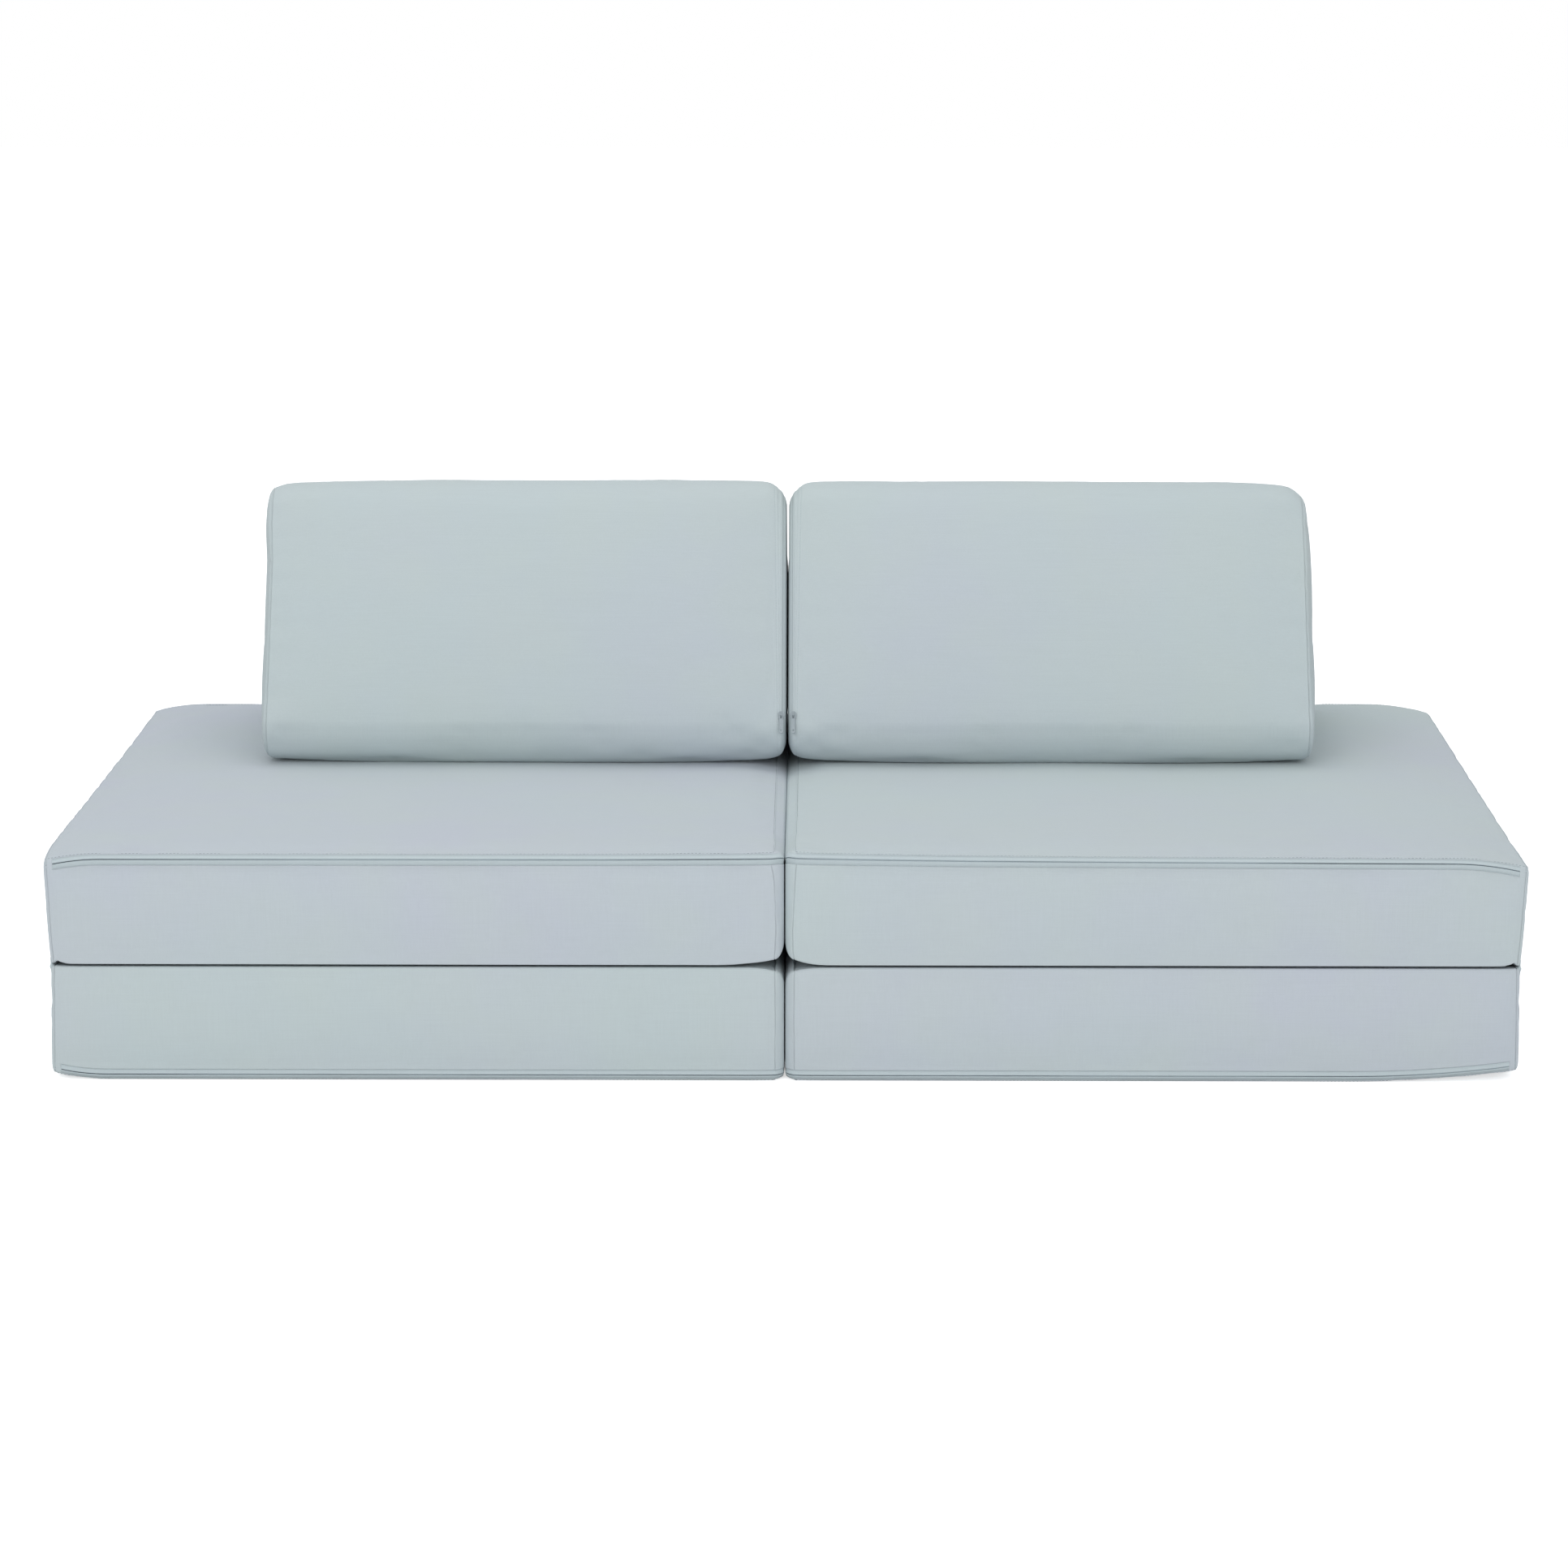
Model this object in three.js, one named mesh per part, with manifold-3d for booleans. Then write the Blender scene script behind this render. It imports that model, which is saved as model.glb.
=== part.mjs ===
// A modular foam sofa. Two square floor mats, each hinged along its outer end and folded
// shut, stand side by side, and a loose wedge cushion stands on the rear of each.
// Every panel and wedge is a foam core in a zipped cloth cover.
// Millimetres, +Z up, the front towards -Y. The origin is on the floor under the middle.

import * as THREE from 'three';
import { mergeVertices } from 'three/addons/utils/BufferGeometryUtils.js';
import Module from 'manifold-3d';

const wasm = await Module();
wasm.setup();

// Clearances
const clearance = 0.3;
const layerGap = 0.6;
const centreGap = 2;
const cutOverrun = 20;

// Mat panel: four alike, two to a mat. Lengths run along X, from the free end, which has
// the zip, to the hinge end.
const panelLength = 831;
const panelDepth = 838;
const panelThickness = 131;
const panelEdgeRadius = 6;
const panelSideBulge = 2.5;
const seatCrown = 4;
const seatLean = 7;
const freeEndBulge = 10;
const freeEndReachZipSide = 3.5;
const freeEndReachHingeSide = 20;
const freeEndReachSides = 12;
const hingeEndBulge = 4;
const hingeEndReachZipSide = 9;
const hingeEndReachHingeSide = 5;
const hingeEndReachSides = 8;
const cornerDrop = 7;
const cornerDropRun = 60;

// Cover and foam
const coverThickness = 2.5;
const foamFit = 0.5;

// Zip, as it lies in its slit. Insets are measured inwards from the cover's face.
const zipFromEdge = 7;
const slitWidth = 6;
const zipEndMargin = 8;
const coilInset = 0.2;
const coilWidth = 1.4;
const tapeInset = 1.1;
const tapeBackInset = 2.2;
const coilRowGap = 0.3;

// Zip slider and pull
const sliderLength = 10;
const sliderNoseHalf = 4;
const sliderTailHalf = 3.2;
const sliderLift = 0.6;
const sliderPlate = 1;
const sliderFlangeInner = 1.9;
const sliderFlangeOuter = 2.6;
const sliderFlangeDepth = 0.7;
const bridgeWidth = 1.2;
const bridgeHalfLength = 3.6;
const bridgeHeight = 3.1;
const bridgeBar = 0.9;
const bridgeRoot = 0.2;
const pullLength = 24;
const pullHalfWidth = 2.3;
const pullThickness = 1.2;
const pullSlotLength = 4.4;
const pullSlotHalfWidth = 1.1;
const pullHoleRadius = 1;
const pullHoleFromEnd = 4;

// Fold hinge: a beaded cloth strip along the outer end, between base and seat
const hingeLength = 812;
const hingeBeadRadius = 2.2;
const hingeWebThickness = 1.2;
const hingeWebReach = 2.5;
const hingeLeafHeight = 14;
const hingeLeafThickness = 1.2;
const hingeRoom = 0.5;

// Wedge cushion
const wedgeLength = 648;
const wedgeDepth = 393;
const wedgeHeight = 332;
const wedgeApexSetback = 175;
const wedgeEdgeRadius = 38;
const wedgeCrown = 8;
const wedgeEndBulge = 8;
const wedgeEndReach = 14;
const wedgeDrawIn = 3;
const wedgeFlatRun = 22;
const wedgeZipFromTip = 6.5;
const wedgeZipStart = 48;
const wedgeSliderHeight = 64;
const wedgeRearSetback = 2;

// Facets: counts, and shares of the face or run that they divide. The foam is plainer
// than the cloth round it.
const arcSegments = 6;
const crownPower = 4;
const clothFacets = {
  cornerSteps: 3,
  hingeCapShares: [1, 0.5],
  freeCapShares: [0.33, 0.67, 1],
  dropShares: [0.37, 1],
  middleShares: [0.3, 0.5, 0.75, 0.93],
  topShares: [-0.8, -0.4, 0.4, 0.8],
  sideShares: [0.3, 0.7],
  arcSteps: 6,
  slopeShares: [0.3, 0.7],
  wedgeCapShares: [0.15, 0.33, 0.67, 1],
  wedgeRunShares: [0.1, 0.3, 0.7, 0.9],
};
const foamFacets = {
  cornerSteps: 1,
  hingeCapShares: [1],
  freeCapShares: [0.67, 1],
  dropShares: [1],
  middleShares: [0.5],
  topShares: [-0.4, 0.4],
  sideShares: [0.3, 0.7],
  arcSteps: 3,
  slopeShares: [0.3, 0.7],
  wedgeCapShares: [0.67, 1],
  wedgeRunShares: [0.5],
};

// Places that follow from the sizes above
const freeSeam = -freeEndBulge;
const hingeSeam = -panelLength + hingeEndBulge;
const panelHalfDepth = panelDepth / 2 - panelSideBulge;
const hingeAxis = -panelLength - seatLean / 2 - hingeRoom;
const seatTop = panelThickness + seatCrown;
const sliderPlateTop = sliderLift + sliderPlate;
const pullAxisHeight = sliderPlateTop + (bridgeHeight - bridgeBar) / 2;
const sliderTop = sliderPlateTop + bridgeHeight;
const rearOverhang = sliderTop - panelSideBulge;
const matSliderX = hingeSeam + cornerDropRun + sliderLength;

// Materials
const CLOTH = { color: '#b9c6ca', roughness: 0.92, metalness: 0 };
const SEAM_CLOTH = { color: '#a9b6bc', roughness: 0.92, metalness: 0 };
const FOAM = { color: '#e8e4d6', roughness: 1, metalness: 0 };
const ZIP_TAPE = { color: '#98a5ac', roughness: 0.75, metalness: 0 };
const ZIP_METAL = { color: '#6d7276', roughness: 0.4, metalness: 0.9 };

function addNode(parent, name, geometry, material) {
  const mesh = new THREE.Mesh(geometry, new THREE.MeshStandardMaterial(material));
  mesh.name = name;
  mesh.geometry.computeVertexNormals();
  parent.add(mesh);
  return mesh;
}

// Meshes, solids and their conversions

function signedVolume(positions, indices) {
  const a = new THREE.Vector3();
  const b = new THREE.Vector3();
  const c = new THREE.Vector3();
  let volume = 0;
  for (let i = 0; i < indices.length; i += 3) {
    a.fromArray(positions, indices[i] * 3);
    b.fromArray(positions, indices[i + 1] * 3);
    c.fromArray(positions, indices[i + 2] * 3);
    volume += a.dot(b.cross(c)) / 6;
  }
  return volume;
}

function flipped(indices) {
  const result = [];
  for (let i = 0; i < indices.length; i += 3) {
    result.push(indices[i], indices[i + 2], indices[i + 1]);
  }
  return result;
}

function meshOf(positions, indices) {
  const geometry = new THREE.BufferGeometry();
  geometry.setAttribute('position', new THREE.Float32BufferAttribute(positions, 3));
  const outward = signedVolume(positions, indices) > 0;
  geometry.setIndex(outward ? indices : flipped(indices));
  return geometry;
}

function solidOf(geometry) {
  const bare = geometry.clone();
  bare.deleteAttribute('normal');
  bare.deleteAttribute('uv');
  const merged = mergeVertices(bare);
  const vertProperties = new Float32Array(merged.attributes.position.array);
  const triVerts = new Uint32Array(merged.index.array);
  return new wasm.Manifold(new wasm.Mesh({ numProp: 3, vertProperties, triVerts }));
}

function geometryOf(solid) {
  const mesh = solid.getMesh();
  return meshOf(Array.from(mesh.vertProperties), Array.from(mesh.triVerts));
}

function reflected(geometry, x, z) {
  const copy = geometry.clone().scale(x, 1, z);
  const indices = Array.from(copy.index.array);
  return meshOf(Array.from(copy.attributes.position.array), indices);
}

// A closed skin over a row of rings that have equal counts of points
function loft(rings) {
  const count = rings[0].length;
  const positions = rings.flat().flatMap((point) => point.toArray());
  const indices = [];
  for (let ring = 0; ring < rings.length - 1; ring += 1) {
    for (let i = 0; i < count; i += 1) {
      const a = ring * count + i;
      const b = ring * count + ((i + 1) % count);
      indices.push(a, b, b + count, a, b + count, a + count);
    }
  }
  const closeWithFan = (ring, first, turn) => {
    const centre = new THREE.Vector3();
    ring.forEach((point) => centre.addScaledVector(point, 1 / count));
    const hub = positions.length / 3;
    positions.push(...centre.toArray());
    for (let i = 0; i < count; i += 1) {
      const a = first + i;
      const b = first + ((i + 1) % count);
      indices.push(...(turn ? [hub, b, a] : [hub, a, b]));
    }
  };
  closeWithFan(rings[0], 0, true);
  closeWithFan(rings.at(-1), (rings.length - 1) * count, false);
  return meshOf(positions, indices);
}

function block(low, high) {
  const size = new THREE.Vector3().subVectors(high, low);
  const centre = new THREE.Vector3().addVectors(low, high).multiplyScalar(1 / 2);
  const box = new THREE.BoxGeometry(size.x, size.y, size.z);
  return box.translate(centre.x, centre.y, centre.z);
}

// Mat panel, in its own frame: X from the free end's tip at 0 to the hinge end's tip, Y
// across, and Z up from the face that the mat folds on. The zip is near the top.

// How far the top edge falls towards the sewn corners of the hinge end
function dropAt(x) {
  const share = Math.max(0, 1 - (x - hingeSeam) / cornerDropRun);
  return cornerDrop * Math.min(1, share) ** 2;
}

function panelSection({ x, zipSide, hingeSide, sides }, { crown, lean }, inset, facets) {
  const radius = panelEdgeRadius - inset;
  const half = panelHalfDepth - inset - sides;
  const low = layerGap / 2 + inset + hingeSide;
  const high = panelThickness - inset - zipSide - dropAt(x);
  const run = (freeSeam - hingeSeam) / 2;
  const across = Math.min(1, Math.abs(x - (freeSeam + hingeSeam) / 2) / run);
  const section = [];
  const corner = (y, z, quarter) => {
    for (let i = 0; i <= facets.cornerSteps; i += 1) {
      const angle = (quarter + i / facets.cornerSteps) * Math.PI / 2;
      section.push([y + radius * Math.cos(angle), z + radius * Math.sin(angle)]);
    }
  };
  const side = (sign, shares) => {
    for (const share of shares) {
      const bulge = panelSideBulge * (1 - (2 * share - 1) ** 2);
      const z = low + radius + share * (high - low - 2 * radius);
      section.push([sign * (half + bulge), z]);
    }
  };
  corner(half - radius, low + radius, -1);
  side(1, facets.sideShares);
  corner(half - radius, high - radius, 0);
  for (const share of [...facets.topShares].reverse()) {
    const rise = (1 - Math.abs(share) ** crownPower) * (1 - across ** crownPower);
    section.push([share * half, high + crown * rise]);
  }
  corner(radius - half, high - radius, 1);
  side(-1, [...facets.sideShares].reverse());
  corner(radius - half, low + radius, 2);
  const towardsHinge = Math.min(1, Math.max(0, (freeSeam - x) / (2 * run)));
  return section.map(([y, z]) => {
    const shift = lean * towardsHinge * z / panelThickness;
    return new THREE.Vector3(x - shift, y, z);
  });
}

// A quarter ellipse from the seam out to the end's flat middle
function endCap(seam, direction, bulge, reach, shares) {
  return shares.map((share) => {
    const angle = share * Math.PI / 2;
    const drawn = 1 - Math.cos(angle);
    return {
      x: seam + direction * bulge * Math.sin(angle),
      zipSide: reach.zipSide * drawn,
      hingeSide: reach.hingeSide * drawn,
      sides: reach.sides * drawn,
    };
  });
}

function panelForm(shape, inset, facets) {
  const hingeReach = {
    zipSide: hingeEndReachZipSide,
    hingeSide: hingeEndReachHingeSide,
    sides: hingeEndReachSides,
  };
  const freeReach = {
    zipSide: freeEndReachZipSide,
    hingeSide: freeEndReachHingeSide,
    sides: freeEndReachSides,
  };
  const plain = (x) => ({ x, zipSide: 0, hingeSide: 0, sides: 0 });
  const length = freeSeam - hingeSeam;
  const stations = [
    ...endCap(hingeSeam, -1, hingeEndBulge - inset, hingeReach, facets.hingeCapShares),
    plain(hingeSeam),
    ...facets.dropShares.map((share) => plain(hingeSeam + share * cornerDropRun)),
    ...facets.middleShares.map((share) => plain(hingeSeam + share * length)),
    plain(freeSeam),
    ...endCap(freeSeam, 1, freeEndBulge - inset, freeReach, facets.freeCapShares),
  ];
  return solidOf(loft(stations.map((s) => panelSection(s, shape, inset, facets))));
}

// A band of the height between two offsets from the zip's line, round three sides
function panelBand(from, to) {
  const reach = panelDepth / 2 + cutOverrun;
  const stations = [
    hingeSeam + zipEndMargin,
    ...clothFacets.dropShares.map((share) => hingeSeam + share * cornerDropRun),
    cutOverrun,
  ];
  const rings = stations.map((x) => {
    const line = panelThickness - zipFromEdge - dropAt(x);
    return [[-reach, from], [reach, from], [reach, to], [-reach, to]].map(
      ([y, offset]) => new THREE.Vector3(x, y, line + offset),
    );
  });
  return solidOf(loft(rings));
}

// Zipped cover and what it holds, for any form that can be drawn with an inset

function coverOf(form, band) {
  const wall = form(0, clothFacets).subtract(form(coverThickness, clothFacets));
  return geometryOf(wall.subtract(band(-slitWidth / 2, slitWidth / 2)));
}

function foamOf(form) {
  return geometryOf(form(coverThickness + foamFit, foamFacets));
}

// One half of the zip: a tape, with a raised coil row along the edge that closes
function zipHalfOf(form, band, sign) {
  const strip = (outer, from, to) => {
    const low = Math.min(sign * from, sign * to);
    const high = Math.max(sign * from, sign * to);
    const back = form(tapeBackInset, clothFacets);
    return form(outer, clothFacets).subtract(back).intersect(band(low, high));
  };
  const tape = strip(tapeInset, coilRowGap / 2, slitWidth / 2 - clearance);
  const coil = strip(coilInset, coilRowGap / 2, coilRowGap / 2 + coilWidth);
  return geometryOf(tape.add(coil));
}

// Zip slider, in its own frame: X along the zip, Y across it and Z out of the cloth
function sliderGeometry() {
  const half = sliderLength / 2;
  const outline = new THREE.Shape();
  outline.moveTo(-half, -sliderTailHalf);
  outline.lineTo(half - sliderNoseHalf, -sliderNoseHalf);
  outline.absarc(half - sliderNoseHalf, 0, sliderNoseHalf, -Math.PI / 2, Math.PI / 2);
  outline.lineTo(-half, sliderTailHalf);
  outline.closePath();
  const plate = new THREE.ExtrudeGeometry(outline, {
    depth: sliderPlate,
    bevelEnabled: false,
    curveSegments: arcSegments,
  }).translate(0, 0, sliderLift);
  let solid = solidOf(plate);
  for (const sign of [-1, 1]) {
    const inner = sign * sliderFlangeInner;
    const outer = sign * sliderFlangeOuter;
    const low = new THREE.Vector3(-half, Math.min(inner, outer), -sliderFlangeDepth);
    const high = new THREE.Vector3(
      half - sliderNoseHalf,
      Math.max(inner, outer),
      sliderLift + sliderPlate / 2,
    );
    solid = solid.add(solidOf(block(low, high)));
  }
  const arch = new THREE.Shape();
  const height = bridgeHeight + bridgeRoot;
  arch.absellipse(0, 0, bridgeHalfLength, height, 0, Math.PI);
  arch.absellipse(0, 0, bridgeHalfLength - bridgeBar, height - bridgeBar, Math.PI, 0, true);
  arch.closePath();
  const bridge = new THREE.ExtrudeGeometry(arch, {
    depth: bridgeWidth,
    bevelEnabled: false,
    curveSegments: arcSegments,
  });
  bridge.rotateX(Math.PI / 2);
  bridge.translate(0, bridgeWidth / 2, sliderPlateTop - bridgeRoot);
  return geometryOf(solid.add(solidOf(bridge)));
}

// Zip pull in the slider's frame, with its slot round the bridge's tail leg
function pullGeometry() {
  const outline = new THREE.Shape();
  const head = pullThickness / 2;
  const tail = -pullLength + pullHalfWidth;
  outline.moveTo(head, pullHalfWidth);
  outline.lineTo(tail, pullHalfWidth);
  outline.absarc(tail, 0, pullHalfWidth, Math.PI / 2, Math.PI * 3 / 2);
  outline.lineTo(head, -pullHalfWidth);
  outline.closePath();
  const slot = new THREE.Path();
  slot.moveTo(-head, pullSlotHalfWidth);
  slot.lineTo(-head, -pullSlotHalfWidth);
  slot.lineTo(-head - pullSlotLength, -pullSlotHalfWidth);
  slot.lineTo(-head - pullSlotLength, pullSlotHalfWidth);
  slot.closePath();
  const hole = new THREE.Path();
  hole.absarc(-pullLength + pullHoleFromEnd, 0, pullHoleRadius, 0, Math.PI * 2);
  outline.holes.push(slot, hole);
  const flat = new THREE.ExtrudeGeometry(outline, {
    depth: pullThickness,
    bevelEnabled: false,
    curveSegments: arcSegments,
  });
  flat.translate(0, 0, pullAxisHeight - pullThickness / 2);
  return geometryOf(solidOf(flat));
}

// The zip's frame as a matrix: along it, across it and out of the cloth
function zipFrame(origin, along, out) {
  const across = new THREE.Vector3().crossVectors(out, along);
  return new THREE.Matrix4().makeBasis(along, across, out).setPosition(origin);
}

function addZipHardware(parent, name, frame, x, z) {
  const slider = sliderGeometry().applyMatrix4(frame);
  const pull = pullGeometry().applyMatrix4(frame);
  addNode(parent, `${name}_zip_slider`, reflected(slider, x, z), ZIP_METAL);
  addNode(parent, `${name}_zip_pull`, reflected(pull, x, z), ZIP_METAL);
}

// One panel of a mat. x is 1 for the left mat and -1 for the right one, and z is 1 for
// the seat and -1 for the base, which is the same panel the other way up.
function addPanel(parent, name, x, z) {
  const isSeat = z > 0;
  const shape = { crown: isSeat ? seatCrown : 0, lean: isSeat ? seatLean : 0 };
  const form = (inset, facets) => panelForm(shape, inset, facets);
  const panel = new THREE.Group();
  panel.position.z = panelThickness;
  parent.add(panel);
  const add = (part, geometry, material) => {
    addNode(panel, `${name}_${part}`, reflected(geometry, x, z), material);
  };
  add('foam', foamOf(form), FOAM);
  add('cover', coverOf(form, panelBand), CLOTH);
  add('zip_edge_half', zipHalfOf(form, panelBand, 1), ZIP_TAPE);
  add('zip_side_half', zipHalfOf(form, panelBand, -1), ZIP_TAPE);
  const origin = new THREE.Vector3(matSliderX, panelHalfDepth, panelThickness - zipFromEdge);
  const along = new THREE.Vector3(1, 0, 0);
  const out = new THREE.Vector3(0, 1, 0);
  addZipHardware(panel, name, zipFrame(origin, along, out), x, z);
}

// Fold hinge: a bead on the fold's axis, a web into the groove between the panels, and a
// leaf that is sewn down the end of the base
function addHinge(parent, name, x) {
  const bead = new THREE.CylinderGeometry(
    hingeBeadRadius,
    hingeBeadRadius,
    hingeLength,
    arcSegments,
  ).translate(hingeAxis, 0, panelThickness);
  const half = hingeLength / 2;
  const web = block(
    new THREE.Vector3(hingeAxis, -half, panelThickness - hingeWebThickness / 2),
    new THREE.Vector3(
      -panelLength + hingeWebReach,
      half,
      panelThickness + hingeWebThickness / 2,
    ),
  );
  const leafFace = -panelLength - clearance;
  const leaf = block(
    new THREE.Vector3(leafFace - hingeLeafThickness, -half, panelThickness - hingeLeafHeight),
    new THREE.Vector3(leafFace, half, panelThickness),
  );
  const strip = solidOf(bead).add(solidOf(web)).add(solidOf(leaf));
  addNode(parent, name, reflected(geometryOf(strip), x, 1), SEAM_CLOTH);
}

// Wedge cushion, in its own frame: X from its inner end's tip at 0 outwards along -X, Y
// from its front edge and Z up from its flat underside

const wedgeCentres = [
  new THREE.Vector2(wedgeEdgeRadius, wedgeEdgeRadius),
  new THREE.Vector2(wedgeDepth - wedgeEdgeRadius, wedgeEdgeRadius),
  new THREE.Vector2(wedgeApexSetback, wedgeHeight - wedgeEdgeRadius),
];

// The circle that touches the three faces: the wedge's sections shrink towards its centre
function wedgeInscribed() {
  const [a, b, c] = wedgeCentres;
  const sides = [b.distanceTo(c), c.distanceTo(a), a.distanceTo(b)];
  const around = sides[0] + sides[1] + sides[2];
  const centre = new THREE.Vector2();
  wedgeCentres.forEach((point, i) => centre.addScaledVector(point, sides[i] / around));
  return { centre, radius: centre.y };
}

function wedgeSection(x, inset, crown, facets) {
  const { centre, radius } = wedgeInscribed();
  const outline = [];
  wedgeCentres.forEach((here, i) => {
    const before = wedgeCentres[(i + 2) % 3];
    const next = wedgeCentres[(i + 1) % 3];
    const faceIn = new THREE.Vector2().subVectors(here, before).angle() - Math.PI / 2;
    const faceOut = new THREE.Vector2().subVectors(next, here).angle() - Math.PI / 2;
    const sweep = THREE.MathUtils.euclideanModulo(faceOut - faceIn, Math.PI * 2);
    for (let step = 0; step <= facets.arcSteps; step += 1) {
      const angle = faceIn + sweep * step / facets.arcSteps;
      const normal = new THREE.Vector2(Math.cos(angle), Math.sin(angle));
      outline.push(here.clone().addScaledVector(normal, wedgeEdgeRadius));
    }
    const normal = new THREE.Vector2(Math.cos(faceOut), Math.sin(faceOut));
    const rise = i === 0 ? 0 : crown;
    for (const share of facets.slopeShares) {
      const lift = wedgeEdgeRadius + rise * (1 - (2 * share - 1) ** 2);
      outline.push(here.clone().lerp(next, share).addScaledVector(normal, lift));
    }
  });
  const scale = (radius - inset) / radius;
  return outline.map((point) => {
    const p = point.sub(centre).multiplyScalar(scale).add(centre);
    return new THREE.Vector3(x, p.x, p.y);
  });
}

// How far the section has drawn in, at an angle round the end's quarter ellipse
function wedgeCapInset(angle) {
  return wedgeDrawIn + wedgeEndReach * (1 - Math.cos(angle));
}

function wedgeForm(inset, facets) {
  const innerSeam = -wedgeEndBulge;
  const outerSeam = wedgeEndBulge - wedgeLength;
  const seam = (x) => ({ x, inset: wedgeDrawIn, crown: 0 });
  const cap = (from, direction) => facets.wedgeCapShares.map((share) => ({
    x: from + direction * (wedgeEndBulge - inset) * Math.sin(share * Math.PI / 2),
    inset: wedgeCapInset(share * Math.PI / 2),
    crown: 0,
  }));
  const start = outerSeam + wedgeFlatRun;
  const run = innerSeam - wedgeFlatRun - start;
  const body = facets.wedgeRunShares.map((share) => {
    const fullness = 1 - Math.abs(2 * share - 1) ** crownPower;
    return {
      x: start + share * run,
      inset: wedgeDrawIn * (1 - fullness),
      crown: wedgeCrown * fullness,
    };
  });
  const stations = [
    ...cap(outerSeam, -1).reverse(),
    seam(outerSeam),
    seam(start),
    ...body,
    seam(start + run),
    seam(innerSeam),
    ...cap(innerSeam, 1),
  ];
  return solidOf(loft(stations.map((s) => wedgeSection(s.x, s.inset + inset, s.crown, facets))));
}

// A band of the length between two offsets from the zip's line, above its lower ends
function wedgeBand(from, to) {
  return solidOf(block(
    new THREE.Vector3(from - wedgeZipFromTip, -cutOverrun, wedgeZipStart),
    new THREE.Vector3(to - wedgeZipFromTip, wedgeDepth + cutOverrun, wedgeHeight + cutOverrun),
  ));
}

// The slider's place on the front slope, at its parking height
function wedgeZipFrame() {
  const { centre, radius } = wedgeInscribed();
  const [front, , apex] = wedgeCentres;
  const slope = new THREE.Vector2().subVectors(apex, front).normalize();
  const normal = new THREE.Vector2(-slope.y, slope.x);
  const capAngle = Math.asin((wedgeEndBulge - wedgeZipFromTip) / wedgeEndBulge);
  const scale = (radius - wedgeCapInset(capAngle)) / radius;
  const foot = front.clone().addScaledVector(normal, wedgeEdgeRadius);
  foot.sub(centre).multiplyScalar(scale).add(centre);
  foot.addScaledVector(slope, (wedgeSliderHeight - foot.y) / slope.y);
  const origin = new THREE.Vector3(-wedgeZipFromTip, foot.x, foot.y);
  const along = new THREE.Vector3(0, slope.x, slope.y);
  const out = new THREE.Vector3(0, normal.x, normal.y);
  return zipFrame(origin, along, out);
}

function addWedge(parent, name, x) {
  const wedge = new THREE.Group();
  wedge.position.y = panelDepth / 2 - wedgeRearSetback - wedgeDepth;
  wedge.position.z = panelThickness + seatTop + layerGap;
  parent.add(wedge);
  const add = (part, geometry, material) => {
    addNode(wedge, `${name}_${part}`, reflected(geometry, x, 1), material);
  };
  add('foam', foamOf(wedgeForm), FOAM);
  add('cover', coverOf(wedgeForm, wedgeBand), CLOTH);
  add('zip_inner_half', zipHalfOf(wedgeForm, wedgeBand, 1), ZIP_TAPE);
  add('zip_outer_half', zipHalfOf(wedgeForm, wedgeBand, -1), ZIP_TAPE);
  addZipHardware(wedge, name, wedgeZipFrame(), x, 1);
}

// The sofa: the left mat as drawn, and the right one reflected
const sofa = new THREE.Group();
sofa.position.y = -rearOverhang / 2;
for (const [side, x] of [['left', 1], ['right', -1]]) {
  const mat = new THREE.Group();
  mat.position.x = -x * centreGap / 2;
  sofa.add(mat);
  addPanel(mat, `${side}_base`, x, -1);
  addPanel(mat, `${side}_seat`, x, 1);
  addHinge(mat, `${side}_fold_hinge`, x);
  addWedge(mat, `${side}_back`, x);
}

export default sofa;
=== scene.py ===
"""Looks for the modular foam sofa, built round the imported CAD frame.

Shapes are written in millimetres in each panel's or wedge's own frame, as in the part's
source, and are set in metres in the row frame at the end.
"""

import math

import bpy
import numpy as np
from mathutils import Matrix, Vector
from mathutils.kdtree import KDTree


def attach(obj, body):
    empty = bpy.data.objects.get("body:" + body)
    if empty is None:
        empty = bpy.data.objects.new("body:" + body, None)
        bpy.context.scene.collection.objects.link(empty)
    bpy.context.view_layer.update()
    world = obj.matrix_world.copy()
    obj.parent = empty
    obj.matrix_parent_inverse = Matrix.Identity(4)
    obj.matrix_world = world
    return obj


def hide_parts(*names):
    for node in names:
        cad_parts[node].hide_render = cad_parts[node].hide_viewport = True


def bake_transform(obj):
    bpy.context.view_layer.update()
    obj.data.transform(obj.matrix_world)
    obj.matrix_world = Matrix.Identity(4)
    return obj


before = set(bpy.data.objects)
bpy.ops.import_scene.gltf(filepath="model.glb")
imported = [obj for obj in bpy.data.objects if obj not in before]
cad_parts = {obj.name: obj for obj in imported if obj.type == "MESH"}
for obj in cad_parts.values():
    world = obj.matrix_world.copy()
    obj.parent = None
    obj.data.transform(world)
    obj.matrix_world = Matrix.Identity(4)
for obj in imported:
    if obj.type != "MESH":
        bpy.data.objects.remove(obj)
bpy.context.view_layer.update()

# Sizes repeated from the part's source, in millimetres
THICK = 131.0
REAR_SHIFT = -1.1  # the mats' middle lies this far from the row's
HALF_GAP = 1.0  # between the two mats
LAYER = 0.3  # free height left between two panels
FREE_SEAM, HINGE_SEAM = -10.0, -827.0  # where the cover's ends are sewn on
HALF = 416.5
ZIP_Z = 124.0
SIDE_BULGE = 2.5
WEDGE_LENGTH, WEDGE_DEPTH, WEDGE_HEIGHT = 648.0, 393.0, 332.0
WEDGE_RADIUS, WEDGE_SETBACK = 38.0, 175.0
WEDGE_Y, WEDGE_Z = 22.9, 266.6  # its front lower edge in the row
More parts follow.
